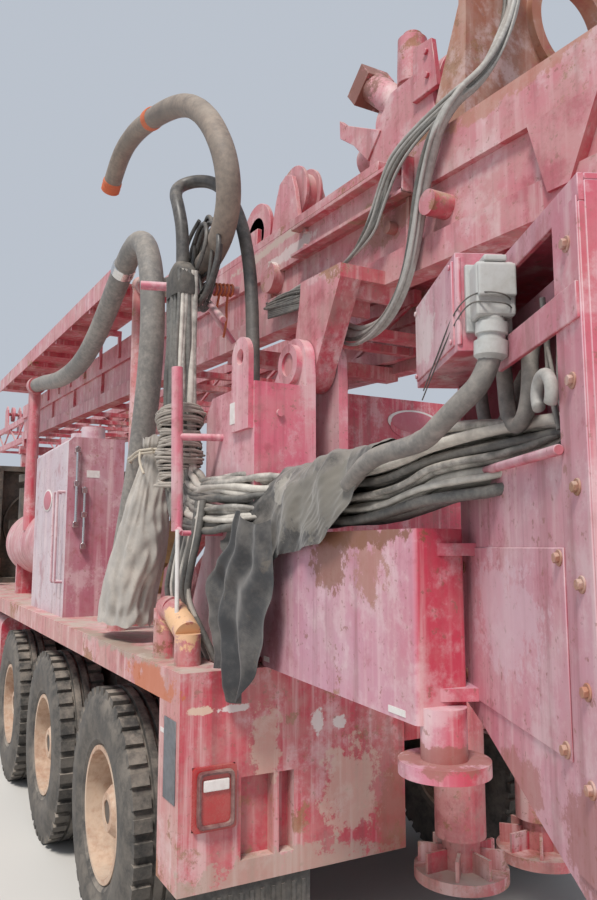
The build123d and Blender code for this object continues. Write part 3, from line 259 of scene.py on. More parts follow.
def paint_group() -> bpy.types.NodeTree:
    """Old paint: painted sky light pales it on faces turned up or sideways, painted shade keeps it
    deep red on the others, and it also fades in random patches, streaks and rusts.
    """
    graph = Group("weathered_and_sky_lit_paint", FadedAndSkyLit=(0.6, 0.3, 0.38), DeepAndShaded=(0.5, 0.07, 0.11), Rust=0.4,
                  Dust=0.4, Streaks=0.5)
    given, place, up = graph.given, graph.place(), graph.up()
    # Painted sky light and shade: faces turned sideways or up, with random patches, take the pale
    # colour; the others keep the deep red as painted shade.
    side = graph.math("ABSOLUTE", graph.axis("Normal", "Y"))
    patch = graph.noise(place, 1.7, 6.0, 0.65)
    chalk = graph.noise(place, 4.3, 9.0, 0.72)
    runs = graph.noise(graph.stretched(place, (11, 11, 0.55)), 1.6, 5.0)
    speck = graph.noise(place, 42.0, 3.0, 0.7)
    edge = 0.7 - given["Rust"] * 0.15
    rusty = graph.step(graph.noise(place, 2.6, 10.0, 0.78), edge, edge + 0.045)
    rust = graph.mix(graph.noise(place, 14.0, 4.0), (0.13, 0.045, 0.02), (0.5, 0.27, 0.15))
    dusty = (up * 0.7 + 0.3) * given["Dust"] * graph.step(
        graph.noise(place, 5.5, 8.0, 0.72), 0.4, 0.62)
    sky_lit_and_faded = graph.step(side * 0.5 + up * 0.6 + patch * 0.9, 0.3, 1.15)
    colour = graph.mix(sky_lit_and_faded, given["DeepAndShaded"], given["FadedAndSkyLit"])
    for share, tint in ((graph.step(chalk, 0.5, 0.63) * 0.42, (0.74, 0.6, 0.62)),
                        (graph.step(chalk, 0.47, 0.36) * 0.5, (0.33, 0.05, 0.07)),
                        (graph.step(runs, 0.5, 0.7) * given["Streaks"] * 0.5, (0.8, 0.64, 0.64)),
                        (graph.step(runs, 0.47, 0.3) * given["Streaks"] * 0.5, (0.2, 0.06, 0.06)),
                        (graph.step(speck, 0.6, 0.7) * 0.65, (0.26, 0.11, 0.08)),
                        (rusty * 0.85, rust), (dusty, (0.5, 0.43, 0.37))):
        colour = graph.mix(share, colour, tint)
    return graph.close(colour, patch * 0.18 + 0.38 + rusty * 0.4 + dusty * 0.35,
                       graph.noise(place, 90.0, 2.0) * 0.15 - rusty * 0.5 + patch * 0.6)


def grime_group() -> bpy.types.NodeTree:
    """A plain colour, mottled with wear, with dust that settles most on faces turned up."""
    graph = Group("grime", Tone=(0.1, 0.1, 0.1), Worn=(0.3, 0.28, 0.25), Wear=0.4, Dust=0.4,
                  Gloss=0.5, Grain=30.0)
    given, place = graph.given, graph.place()
    broad = graph.noise(place, 3.1, 7.0, 0.68)
    fine = graph.noise(place, given["Grain"], 4.0, 0.65)
    wear = given["Wear"] * graph.step(broad * 0.6 + fine * 0.4, 0.4, 0.66)
    dust = (graph.up() * 0.7 + 0.3) * given["Dust"] * graph.step(
        graph.noise(place, 7.0, 6.0, 0.72), 0.34, 0.66)
    colour = graph.mix(wear, given["Tone"], given["Worn"])
    return graph.close(graph.mix(dust, colour, (0.43, 0.37, 0.31)),
                       given["Gloss"] + dust * 0.4 + wear * 0.15, fine * 0.5 + broad * 0.5)


def weave_group() -> bpy.types.NodeTree:
    """Cloth: crossing threads, creases and settled dust, from the piece's UV in metres."""
    graph = Group("weave", Tone=(0.06, 0.06, 0.06), Dusty=(0.35, 0.31, 0.27), Dust=0.5,
                  Threads=900.0)
    given, place = graph.given, graph.place()
    warp, weft = (graph.math("SINE", graph.axis("UV", axis) * given["Threads"])
                  for axis in "XY")
    marks = graph.noise(place, 6.0, 7.0, 0.7)
    dust = given["Dust"] * graph.step(marks + graph.up() * 0.22, 0.4, 0.72)
    blotch = graph.step(graph.noise(place, 17.0, 5.0, 0.7), 0.58, 0.7) * 0.3
    colour = graph.mix(dust, given["Tone"], given["Dusty"])
    return graph.close(graph.mix(blotch, colour, (0.2, 0.16, 0.12)), dust * 0.25 + 0.68,
                       warp * weft * 0.15 + marks * 0.8)


class Groups:
    """The shared node groups, made once."""

    def __init__(self) -> None:
        self.paint = paint_group()
        self.grime = grime_group()
        self.weave = weave_group()


def new_material(name: str) -> tuple[bpy.types.Material, Graph, bpy.types.bpy_prop_collection]:
    """Make a material, and give it with its graph and its shader's inputs."""
    material = bpy.data.materials.new(name)
    material.use_nodes = True
    shader = material.node_tree.nodes["Principled BSDF"]
    return material, Graph(material.node_tree), shader.inputs


@dataclass(frozen=True)
class Patch:
    """A ragged stain, a place where the paint is gone, or a pale area of painted sky light.

    Attributes:
        at: Its middle in the frame.
        size: Half its extent along each axis in millimetres.
        colour: Colour of it.
        share: How much of the paint below it hides.
    """

    at: Vector
    size: tuple[float, float, float]
    colour: Colour
    share: float = 0.8


@dataclass(frozen=True)
class Finish:
    """A surface from one of the shared groups.

    Attributes:
        name: Name of the material.
        slot: The record's slot that it belongs to; not used.
        group: Which shared group drives it.
        values: Inputs of the group.
        relief: Depth of its bump in metres.
        metallic: Metallic constant of the shader.
        coat: Coat weight of the shader.
        sheen: Sheen weight of the shader.
        patches: Stained or bare places on it, and pale areas of painted sky light.
    """

    name: str
    slot: str
    group: str
    values: dict
    relief: float = 0.0008
    metallic: float = 0.0
    coat: float = 0.0
    sheen: float = 0.0
    patches: tuple[Patch, ...] = ()

    def patched(self, graph: Graph, colour: Wire) -> Wire:
        """The colour with each ragged patch laid over it."""
        if not self.patches:
            return colour
        place = graph.place()
        ragged = (graph.noise(place, 13.0, 7.0, 0.75) - 0.5) * 3.4
        for patch in self.patches:
            far = graph.distance(place, patch.at, tuple(1000 / s for s in patch.size))
            colour = graph.mix(graph.step(far + ragged, 1.05, 0.8) * patch.share, colour,
                               patch.colour)
        return colour

    def build(self, groups: Groups) -> bpy.types.Material:
        """Make the material."""
        material, graph, shader = new_material(self.name)
        surface = graph.group(getattr(groups, self.group), self.values)
        for label, value in (("Base Color", self.patched(graph, surface["Color"])),
                             ("Roughness", surface["Roughness"]),
                             ("Normal", graph.bump(BUMP_STRENGTH, self.relief, surface["Height"])),
                             ("Metallic", self.metallic), ("Coat Weight", self.coat),
                             ("Coat Roughness", COAT_ROUGHNESS), ("Sheen Weight", self.sheen)):
            graph.feed(shader[label], value)
        return material


@dataclass(frozen=True)
class WheelFinish:
    """Tyre, rim and hub of one wheel, told apart by their distance from the axle."""

    name: str
    axle_x: float
    slot: str = "tyre"

    def build(self, groups: Groups) -> bpy.types.Material:
        """Make the material."""
        material, graph, shader = new_material(self.name)
        away = graph.distance(graph.place(), chassis(self.axle_x, 0, TYRE_R), (1, 0, 1))
        is_tyre = graph.step(away, RIM_R / 1000 - 0.001, RIM_R / 1000 + 0.001)
        rim = graph.group(groups.grime, {"Tone": (0.64, 0.48, 0.36), "Worn": (0.36, 0.17, 0.1),
                                         "Wear": 0.75, "Dust": 0.5, "Gloss": 0.5})
        tyre = graph.group(groups.grime, {
            "Tone": (0.035, 0.034, 0.033), "Worn": (0.12, 0.11, 0.1), "Wear": 0.7, "Dust": 0.8,
            "Gloss": 0.62, "Grain": 60.0})
        graph.feed(shader["Base Color"], graph.mix(is_tyre, rim["Color"], tyre["Color"]))
        graph.feed(shader["Roughness"], tyre["Roughness"])
        graph.feed(shader["Normal"], graph.bump(0.6, 0.001, tyre["Height"]))
        return material


@dataclass(frozen=True)
class GlassFinish:
    """A dusty clear pane."""

    name: str = "dusty_glass"
    slot: str = "glass"

    def build(self, groups: Groups) -> bpy.types.Material:
        """Make the material."""
        material, graph, shader = new_material(self.name)
        dust = graph.step(graph.noise(graph.place(), 4.0, 6.0, 0.7), 0.4, 0.75)
        graph.feed(shader["Base Color"], graph.mix(dust, (0.78, 0.84, 0.84), (0.5, 0.46, 0.4)))
        graph.feed(shader["Roughness"], dust * 0.4 + 0.06)
        graph.feed(shader["Alpha"], dust * 0.4 + 0.28)
        return material


def patches(place: Place, *rows: tuple) -> tuple[Patch, ...]:
    """Patches from rows of a point in the part's own axes, half size, colour and share."""
    return tuple(Patch(place(*at), *rest) for at, *rest in rows)


def paint(name: str, values: dict, marks: tuple[Patch, ...] = ()) -> Finish:
    """Old paint, with painted sky light and painted shade from its group."""
    return Finish(name, "red_paint", "paint", values, patches=marks)


def grime(name: str, slot: str, tone: Colour, worn: Colour, amounts: tuple[float, float, float],
          grain: float = 30.0, relief: float = 0.0008, **rest: float) -> Finish:
    """A mottled plain surface: colours fresh and worn, and amounts of wear, dust and gloss."""
    wear, dust, gloss = amounts
    return Finish(name, slot, "grime", {"Tone": tone, "Worn": worn, "Wear": wear, "Dust": dust,
                                        "Gloss": gloss, "Grain": grain}, relief, **rest)


def cloth(name: str, slot: str, tone: Colour, dusty: Colour, dust: float, relief: float,
          sheen: float, marks: tuple[Patch, ...] = ()) -> Finish:
    """Woven cloth: its colours clean and dusty, and how dusty it is."""
    return Finish(name, slot, "weave", {"Tone": tone, "Dusty": dusty, "Dust": dust}, relief,
                  sheen=sheen, patches=marks)


# The first colour of each paint is its faded colour and painted sky light on faces turned up or
# sideways; the second is its deep red and painted shade on the others.
PAINT_OLD = {"FadedAndSkyLit": (0.57, 0.25, 0.28), "DeepAndShaded": (0.5, 0.04, 0.07), "Rust": 0.55,
             "Dust": 0.7, "Streaks": 0.8}
PAINT_BRIGHT = {**PAINT_OLD, "FadedAndSkyLit": (0.56, 0.31, 0.39), "DeepAndShaded": (0.54, 0.045, 0.085),
                "Rust": 0.3, "Dust": 0.45}
PAINT_WORN = {**PAINT_OLD, "FadedAndSkyLit": (0.55, 0.26, 0.25), "Rust": 0.85, "Dust": 0.95,
              "Streaks": 1.0}
RUST_BROWN, RUST_ORANGE = (0.24, 0.1, 0.055), (0.52, 0.15, 0.06)
CHALK, CREAM = (0.72, 0.69, 0.67), (0.7, 0.55, 0.42)

PAINT = paint("old_red_paint", PAINT_OLD)
BRIGHT_PAINT = paint("bright_red_paint", PAINT_BRIGHT)
# A paler copy for the hydraulic cabinet: its lavender first colour is chalking and painted sky
# light on faces turned up or sideways.
PALE_PAINT = paint("chalked_and_sky_lit_paint", {**PAINT_BRIGHT, "FadedAndSkyLit": (0.6, 0.52, 0.57),
                                     "DeepAndShaded": (0.42, 0.13, 0.18)})
PINK_PAINT = paint("pink_paint", {**PAINT_OLD, "FadedAndSkyLit": (0.62, 0.34, 0.38),
                                  "DeepAndShaded": (0.64, 0.11, 0.18)})
JACK_PAINT = paint("jack_paint", {**PAINT_WORN, "FadedAndSkyLit": (0.5, 0.22, 0.2), "Rust": 1.0})
HEAD_PAINT = paint("head_paint", {**PAINT_OLD, "Rust": 0.8}, patches(
    on_mast, ((560, 150, 1560), (160, 200, 160), (0.2, 0.09, 0.06), 0.85),
    ((560, -150, 1560), (160, 200, 160), (0.2, 0.09, 0.06), 0.85)))
ARM_PAINT = paint("arm_paint", PAINT_BRIGHT, patches(
    on_arm, ((640, 72, 1690), (130, 60, 110), RUST_BROWN),
    ((860, 72, 1650), (90, 60, 90), (0.36, 0.17, 0.11), 0.7),
    ((760, 72, 1745), (320, 60, 40), RUST_BROWN, 0.9),
    ((1090, 0, 1235), (150, 150, 30), (0.3, 0.12, 0.09), 0.75)))
BODY_PAINT = paint("body_paint", PAINT_WORN, patches(
    chassis, ((0, 752, 1085), (30, 26, 48), CHALK), ((0, 660, 1070), (30, 30, 20), CHALK),
    ((0, 1205, 1163), (30, 58, 14), CREAM), ((0, 1085, 1160), (30, 66, 12), CHALK),
    ((0, 960, 1010), (40, 60, 150), (0.58, 0.44, 0.35), 0.6),
    ((0, 610, 840), (40, 130, 160), (0.6, 0.47, 0.38), 0.6),
    ((0, 1000, 820), (40, 60, 90), (0.36, 0.15, 0.09), 0.75),
    ((0, 900, 560), (60, 500, 110), (0.42, 0.33, 0.27), 0.7),
    ((0, 420, 700), (40, 90, 200), (0.35, 0.13, 0.09), 0.6)))
DECK_PAINT = paint("deck_paint", PAINT_WORN, patches(
    chassis, ((330, 1280, 1215), (260, 40, 70), RUST_ORANGE, 0.85),
    ((900, 1240, 1290), (700, 60, 30), (0.38, 0.3, 0.24), 0.8),
    ((430, 1190, 1360), (60, 70, 90), RUST_BROWN, 0.9),
    ((220, 1190, 1430), (130, 90, 75), (0.72, 0.45, 0.26), 0.95)))
MAST_PAINT = paint("mast_paint", {**PAINT_OLD, "Rust": 0.8, "Dust": 0.9}, patches(
    on_mast, ((300, 600, 745), (900, 60, 25), (0.55, 0.45, 0.39), 0.85),
    ((-900, 612, 760), (300, 80, 60), (0.42, 0.2, 0.12), 0.6),
    ((-300, 600, 520), (260, 60, 60), (0.3, 0.16, 0.11), 0.6),
    ((500, 600, 640), (260, 60, 30), CHALK, 0.6)))
# The last patch, a broad pale lavender area on the console's face, is painted sky light.
CONSOLE_PAINT = paint("console_paint", {**PAINT_BRIGHT, "FadedAndSkyLit": (0.57, 0.33, 0.39)}, patches(
    on_console, ((300, 0, 1240), (120, 120, 60), (0.34, 0.13, 0.1), 0.6),
    ((640, 0, 1240), (120, 120, 90), (0.3, 0.11, 0.09), 0.6),
    ((20, 108, 2240), (120, 120, 90), CHALK, 0.45),
    ((250, 0, 1560), (280, 140, 120), (0.66, 0.5, 0.56), 0.5)))
RUSTY_STEEL = Finish("rusty_steel", "rusty_steel", "paint",
                     {"FadedAndSkyLit": (0.42, 0.2, 0.13), "DeepAndShaded": (0.3, 0.1, 0.06), "Rust": 1.0,
                      "Dust": 0.7, "Streaks": 0.4}, relief=0.0015)

DARK_METAL = grime("greasy_dark_metal", "dark_metal", (0.06, 0.055, 0.05), (0.2, 0.14, 0.1),
                   (0.6, 0.6, 0.48), relief=0.0012, metallic=0.4)
ENGINE_PAINT = grime("engine_paint", "engine_paint", (0.42, 0.33, 0.12), (0.1, 0.08, 0.06),
                     (0.6, 0.6, 0.5), relief=0.0015)
RUBBER = grime("dusty_rubber", "rubber", (0.03, 0.029, 0.028), (0.16, 0.15, 0.14),
               (0.5, 0.6, 0.6), relief=0.0006)
RED_LENS = grime("red_lamp_lens", "lamp", (0.42, 0.015, 0.02), (0.3, 0.08, 0.06),
                 (0.4, 0.35, 0.22), 90.0, 0.0004, coat=0.5)
SEAT_FABRIC = grime("seat_fabric", "seat_fabric", (0.05, 0.05, 0.06), (0.16, 0.15, 0.15),
                    (0.5, 0.3, 0.85), 320.0, 0.001, sheen=0.3)
DARK_PLASTIC = grime("grained_plastic", "dark_plastic", (0.05, 0.05, 0.05), (0.14, 0.14, 0.13),
                     (0.5, 0.3, 0.5), 400.0, 0.0003)
CHROME = grime("plated_rod", "chrome", (0.72, 0.72, 0.72), (0.5, 0.45, 0.4), (0.4, 0.15, 0.16),
               120.0, 0.0001, metallic=1.0)
HOSE_GREY = grime("grey_hose", "hose", (0.15, 0.145, 0.14), (0.36, 0.33, 0.3),
                  (0.8, 0.5, 0.55), 45.0)
HOSE_BROWN = grime("dusty_hose", "hose", (0.17, 0.14, 0.12), (0.34, 0.27, 0.22),
                   (0.8, 0.7, 0.6), 45.0)
HOSE_BLACK = grime("black_hose", "hose", (0.035, 0.035, 0.037), (0.2, 0.19, 0.18),
                   (0.5, 0.45, 0.4), 45.0, 0.0006)
# The pale worn colour of the small hoses, and the pale hoses below, are partly dust and wear and
# partly painted highlight.
HOSE_PACK = grime("small_hoses", "hose", (0.14, 0.135, 0.125), (0.64, 0.6, 0.55),
                  (0.95, 0.6, 0.45), 26.0, 0.0006)
HOSE_PALE = grime("pale_small_hoses", "hose", (0.42, 0.39, 0.35), (0.74, 0.7, 0.63),
                  (0.9, 0.3, 0.42), 26.0, 0.0006)
CORD_GREY = grime("wound_cord", "hose", (0.3, 0.27, 0.24), (0.5, 0.45, 0.4), (0.7, 0.5, 0.8),
                  150.0)
CABLE_PALE = grime("pale_cable", "cable", (0.42, 0.41, 0.39), (0.2, 0.185, 0.17),
                   (0.7, 0.3, 0.5), 60.0, 0.0004)
CABLE_DARK = grime("dark_cable", "cable", (0.07, 0.07, 0.068), (0.26, 0.25, 0.23),
                   (0.6, 0.5, 0.5), 60.0, 0.0004)
ROPE_CREAM = grime("cream_rope", "cable", (0.62, 0.55, 0.45), (0.4, 0.34, 0.27),
                   (0.6, 0.4, 0.9), 220.0, 0.0015)
ROPE_ORANGE = grime("orange_rope", "cable", (0.6, 0.13, 0.05), (0.5, 0.26, 0.18),
                    (0.6, 0.3, 0.9), 220.0, 0.0015)
PLASTIC_GREY = grime("grey_connector", "dark_plastic", (0.5, 0.51, 0.5), (0.3, 0.28, 0.25),
                     (0.6, 0.5, 0.5), 40.0, 0.0005)
BEZEL = grime("lamp_bezel", "dark_metal", (0.12, 0.03, 0.035), (0.34, 0.2, 0.18),
              (0.6, 0.5, 0.45), 60.0, 0.0004)
REFLECTOR = grime("side_reflector", "dark_metal", (0.03, 0.045, 0.06), (0.2, 0.21, 0.24),
                  (0.6, 0.4, 0.35), 45.0, 0.0003)
SIGN_WHITE = grime("bare_sign", "red_paint", (0.78, 0.76, 0.74), (0.55, 0.46, 0.45),
                   (0.6, 0.4, 0.5), 45.0, 0.0002)
SIGN_FACE = grime("bare_sign_face", "red_paint", (0.5, 0.12, 0.17), (0.6, 0.3, 0.34),
                  (0.5, 0.4, 0.5), 45.0, 0.0002)
YELLOW = grime("yellow_dot", "red_paint", (0.85, 0.45, 0.05), (0.6, 0.3, 0.1),
               (0.4, 0.3, 0.5), 60.0, 0.0002)

BLACK_CLOTH = cloth("black_cloth", "black_cloth", (0.035, 0.034, 0.034), (0.3, 0.27, 0.24), 0.7,
                    0.001, 0.25, patches(
                        on_arm, ((640, 100, 1840), (330, 130, 110), (0.17, 0.155, 0.13), 0.8),
                        ((330, 90, 1900), (60, 60, 50), (0.5, 0.46, 0.4), 0.5)))
TAIL_CLOTH = cloth("black_cloth_tail", "black_cloth", (0.026, 0.027, 0.03), (0.24, 0.22, 0.2),
                   0.45, 0.001, 0.2)
GREY_TARP = cloth("grey_tarp", "grey_tarp", (0.36, 0.33, 0.3), (0.56, 0.5, 0.44), 0.8, 0.0015,
                  0.15)

NODE_FINISHES = {
    "cab_shell": BRIGHT_PAINT, "rear_body": BODY_PAINT, "mast_lower": MAST_PAINT,
    "deck": DECK_PAINT, "mast_columns": PINK_PAINT, "console_cabinet": CONSOLE_PAINT,
    "console_arm": ARM_PAINT, "hydraulic_cabinet": PALE_PAINT, "right_cabinet": BRIGHT_PAINT,
    "work_table": RUSTY_STEEL, "lift_rods": CHROME, "lamps": RED_LENS, "mud_flaps": RUBBER,
    "cab_glass": GlassFinish(), "door_glass_left": GlassFinish(),
    "door_glass_right": GlassFinish(), "cab_seats": SEAT_FABRIC, "cab_controls": DARK_PLASTIC,
    "engine": ENGINE_PAINT, "compressor": ENGINE_PAINT, "intake_and_exhaust": DARK_METAL,
    "cooling_pack": DARK_METAL, "rear_axles": DARK_METAL, "front_axles": DARK_METAL,
}


class Stiffness(Enum):
    """How stiff a hose is."""

    USUAL = "medium"
    STIFF = "stiff"


@dataclass
class Palette:
    """Every material of the rig, by its finish."""

    groups: Groups
    made: dict = field(default_factory=dict)

    def of(self, finish: object) -> bpy.types.Material:
        """The material of a finish, made at its first use."""
        if finish.name not in self.made:
            self.made[finish.name] = finish.build(self.groups)
        return self.made[finish.name]

    def put(self, obj: bpy.types.Object, finish: object, body: str | None = None,
            *nodes: str) -> bpy.types.Object:
        """Give an object its material and slot.

        Args:
            obj: The object.
            finish: Its finish.
            body: The body that it rides on, if it is rigid.
            nodes: The construction's nodes that it stands for.

        Returns:
            The object.
        """
        obj.data.materials.clear()
        obj.data.materials.append(self.of(finish))
        if nodes:
            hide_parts(*nodes)
        if body:
            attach(obj, body)
        return obj


@dataclass
class Part:
    """A part of the rig that is made with the palette's finishes."""

    palette: Palette

    def rigid(self, solids: "Solids", finish: object, body: str = "root",
              bevel: float = 0.0016, nodes: tuple[str, ...] = ()) -> None:
        """Finish one gathered mesh."""
        self.palette.put(solids.make(bevel), finish, body, *nodes)

    def lines(self, name: str, place: Place, routes: list[tuple[list[Spot], float]],
              finish: object, body: str = "root", across: int = 3) -> None:
        """One rigid mesh of tubes whose control points are in the part's own axes."""
        self.palette.put(strand_mesh(name, [(through(place, spots), thick)
                                            for spots, thick in routes], across), finish, body)


class CadFinishes(Part):
    """Finishes of the construction's own nodes."""

    def build(self) -> None:
        """Assign every node's material."""
        for name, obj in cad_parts.items():
            finish = NODE_FINISHES.get(name, PAINT)
            if name.startswith("knuckle"):
                finish = DARK_METAL
            if name.startswith("jack"):
                finish = JACK_PAINT
            if name.startswith("wheel"):
                finish = wheel_finish(name)
            if not obj.data.materials:
                obj.data.materials.append(None)
            for slot in obj.material_slots:
                slot.material = self.palette.of(finish)
            LOG.info("finish %s on %s", finish.name, name)


def wheel_finish(node: str) -> WheelFinish:
    """The finish of a wheel, whose name and place come from its axle in millimetres."""
    axle = round(((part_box(node)[0].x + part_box(node)[1].x) / 2 - REAR_X) * 1000)
    return WheelFinish(f"wheel_{axle}", axle)


def through(place: Place, spots: list[Spot]) -> list[Vector]:
    """Points of the frame from points in a part's own axes."""
    return [place(*spot) for spot in spots]


def nurbs_curve(name: str, points: list[Vector], thick: float, across: int = 8,
                steps: int = 10) -> bpy.types.Object:
    """A smooth tube whose control points are a route. It isn't linked to the scene.

    Args:
        name: Name of the object.
        points: The route, in the frame's metres.
        thick: Outer diameter in metres.
        across: Subdivisions of its round section.
        steps: Subdivisions of its length between control points.

    Returns:
        The curve object.
    """
    curve = bpy.data.curves.new(name, "CURVE")
    curve.dimensions = "3D"
    spline = curve.splines.new("NURBS")
    spline.points.add(len(points) - 1)
    for place, point in zip(spline.points, points):
        place.co = (*point, 1)
    spline.order_u = 3
    spline.use_endpoint_u = True
    curve.resolution_u = steps
    curve.bevel_depth = thick / 2
    curve.bevel_resolution = across
    curve.use_fill_caps = True
    return bpy.data.objects.new(name, curve)


def new_mesh(name: str, bm: bmesh.types.BMesh, smooth: bool = True) -> bpy.types.Object:
    """Turn a bmesh into an object of the scene."""
    bmesh.ops.recalc_face_normals(bm, faces=bm.faces)
    mesh = bpy.data.meshes.new(name)
    bm.to_mesh(mesh)
    bm.free()
    for face in mesh.polygons:
        face.use_smooth = smooth
    obj = bpy.data.objects.new(name, mesh)
    bpy.context.scene.collection.objects.link(obj)
    return obj


@dataclass
class Hose:
    """One free hose or cable between two fittings of the rig.

    Attributes:
        node: The construction's node that it replaces, and its name.
        points: Control points of its line, in the frame.
        diameter: Outer diameter in metres.
        length: Real length in metres.
        finish: Finish of its cover.
        stiffness: How stiff it is; not used.
        body: The body that it rides on.
    """

    node: str
    points: list[Vector]
    diameter: float
    length: float
    finish: Finish
    stiffness: Stiffness = Stiffness.USUAL
    body: str = "root"

    def build(self, palette: Palette) -> None:
        """Make the hose in place of its node, on its body."""
        obj = nurbs_curve(self.node + "_line", self.points, self.diameter)
        bpy.context.scene.collection.objects.link(obj)
        palette.put(obj, self.finish, self.body, self.node)
        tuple(self.points[0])
        LOG.info("hose %s of %.2f m", self.node, self.length)


RISER = [(4150, 3070), (3850, 3035), (3550, 2985), (3250, 2940), (2950, 2915), (2650, 2905),
         (2380, 2925), (2120, 2985), (1890, 3070), (1690, 3160), (1500, 3240), (1320, 3290),
         (1160, 3260), (1050, 3130), (990, 2950), (975, 2740), (1010, 2510), (1075, 2290),
         (1150, 2090), (1240, 1910), (1330, 1750), (1400, 1600), (1440, 1450)]
RISER_Y = 1100
LOOP = [(1840, 1110, 3820), (1720, 1110, 3895), (1560, 1110, 3945), (1350, 1105, 3940),
        (1110, 1100, 3885), (840, 1100, 3800), (580, 1100, 3690), (380, 1100, 3555),
        (230, 1095, 3400), (140, 1080, 3230), (170, 1050, 3080), (300, 1025, 2985),
        (480, 1005, 2945), (690, 990, 2945), (900, 975, 2975), (1120, 962, 3025),
        (1340, 952, 3090), (1540, 950, 3160)]
BLACK = [(470, 1135, 2900.3), (470, 1135, 3030), (505, 1145, 3160), (575, 1140, 3255),
         (620, 1100, 3320), (580, 1040, 3340), (480, 990, 3300), (390, 950, 3200),
         (335, 920, 3060), (300, 905, 2900), (280, 900, 2740), (265, 902, 2590),
         (250, 905, 2460), (250, 905, 2341)]
CABLE = [(-632, 320, 1395), (-632, 320, 1290), (-640, 350, 1190), (-648, 398, 1090),
         (-655, 455, 985), (-662, 528, 885), (-655, 604, 816), (-622, 642, 738),
         (-565, 634, 650), (-520, 630, 545), (-488, 627, 420), (-450, 627, 300),
         (-385, 627, 200), (-290, 627, 130), (-175, 627, 105), (-60, 627, 135),
         (35, 627, 215), (100, 627, 315), (180, 627, 385), (300, 627, 402),
         (420, 627, 398), (540, 627, 398)]


class BigHoses(Part):
    """The mud and air lines, and the cable on the mast."""

    def build(self) -> None:
        """Make the four free hoses."""
        for hose in (
                Hose("big_hose_riser", [chassis(x, RISER_Y, z) for x, z in RISER], 0.118, 5.006,
                     HOSE_GREY, Stiffness.STIFF),
                Hose("big_hose_loop", through(chassis, LOOP), 0.1, 3.555, HOSE_BROWN,
                     Stiffness.STIFF),
                Hose("black_hose", through(chassis, BLACK), 0.055, 1.665, HOSE_BLACK),
                Hose("mast_cable", through(on_mast, CABLE), 0.044, 2.403, CABLE_PALE,
                     body="mast")):
            hose.build(self.palette)


def wobble(place: Vector, scale: float, seed: int) -> float:
    """Smooth noise from -1 to 1 at a place."""
    return noise.noise(place * scale + Vector((seed * 7.3, seed * 3.1, seed * 1.7)))


def ramp(value: float, *stops: tuple[float, float]) -> float:
    """The value on a line through (place, value) stops."""
    for (a, low), (b, high) in zip(stops, stops[1:]):
        if value <= b:
            share = max(0.0, (value - a) / (b - a))
            return low + (high - low) * share
    return stops[-1][1]


def strand_mesh(name: str, routes: list[tuple[list[Vector], float]],
                across: int = 3) -> bpy.types.Object:
    """Several smooth tubes in one mesh.

    Args:
        name: Name of the object.
        routes: Control points and outer diameter of each tube.
        across: Subdivisions of the round section.

    Returns:
        The mesh object.
    """
    bm = bmesh.new()
    for points, thick in routes:
        tube = nurbs_curve("strand", points, thick, across, 6)
        mesh = bpy.data.meshes.new_from_object(tube)
        bm.from_mesh(mesh)
        bpy.data.objects.remove(tube)
        bpy.data.meshes.remove(mesh)
    return new_mesh(name, bm)


def surface(name: str, rows: list[list[Vector]], closed: bool = False,
            caps: bool = False, levels: int = 1) -> bpy.types.Object:
    """A smooth skin over rows of points, with UVs in metres.

    Args:
        name: Name of the object.
        rows: Points, row by row, each row as long as the others.
        closed: Whether each row is a ring.
        caps: Whether the first and last ring are filled.
        levels: Subdivision of the skin.

    Returns:
        The mesh object.
    """
    bm = bmesh.new()
    made = [[bm.verts.new(point) for point in row] for row in rows]
    uv = bm.loops.layers.uv.new("metres")
    width = len(rows[0]) - (0 if closed else 1)
    down = [0.0]
    for upper, lower in zip(rows, rows[1:]):
        down.append(down[-1] + (lower[0] - upper[0]).length)
    along = [0.0]
    for n in range(width):
        along.append(along[-1] + (rows[0][(n + 1) % len(rows[0])] - rows[0][n]).length)
    for i in range(len(rows) - 1):
        for j in range(width):
            k = (j + 1) % len(rows[0])
            face = bm.faces.new((made[i][j], made[i][k], made[i + 1][k], made[i + 1][j]))
            spots = ((i, j), (i, j + 1), (i + 1, j + 1), (i + 1, j))
            for loop, (a, b) in zip(face.loops, spots):
                loop[uv].uv = (along[b], down[a])
    if caps:
        bm.faces.new(made[0])
        bm.faces.new(made[-1])
    obj = new_mesh(name, bm)
    if levels:
        modifier = obj.modifiers.new("smooth", "SUBSURF")
        modifier.levels = modifier.render_levels = levels
    return obj


def ring(centre: Vector, side: Vector, rise: Vector, radii: tuple[float, float],
         count: int, power: float = 2.0) -> list[Vector]:
    """Points on a rounded ring in the plane of two directions."""
    points = []
    for n in range(count):
        angle = tau * n / count
        x, y = (math.copysign(abs(part) ** (2 / power), part) * radius
                for part, radius in zip((cos(angle), sin(angle)), radii))
        points.append(centre + side * x + rise * y)
    return points


def rounded_box(name: str, centre: Vector, size: tuple[float, float, float],
                turn: float = 0.0, bevel: float = 0.004) -> bpy.types.Object:
    """A box with rounded edges, turned about Z.

    Args:
        name: Name of the object.
        centre: Its middle, in the frame.
        size: Its three sides in metres.
        turn: Its turn about Z in radians.
        bevel: Radius of its edges in metres.

    Returns:
        The mesh object.
    """
    bm = bmesh.new()
    bmesh.ops.create_cube(bm, size=1)
    bmesh.ops.scale(bm, vec=size, verts=bm.verts)
    bmesh.ops.bevel(bm, geom=bm.edges[:], offset=bevel, segments=3, affect="EDGES", profile=0.6)
    bmesh.ops.rotate(bm, cent=(0, 0, 0), matrix=Matrix.Rotation(turn, 3, "Z"), verts=bm.verts)
    bmesh.ops.translate(bm, vec=centre, verts=bm.verts)
    return new_mesh(name, bm, smooth=False)


def crosswise(start: Vector, end: Vector) -> tuple[Vector, Vector]:
    """Two directions that are square to a line and to each other."""
    way = (end - start).normalized()
    side = way.orthogonal().normalized()
    return side, way.cross(side)


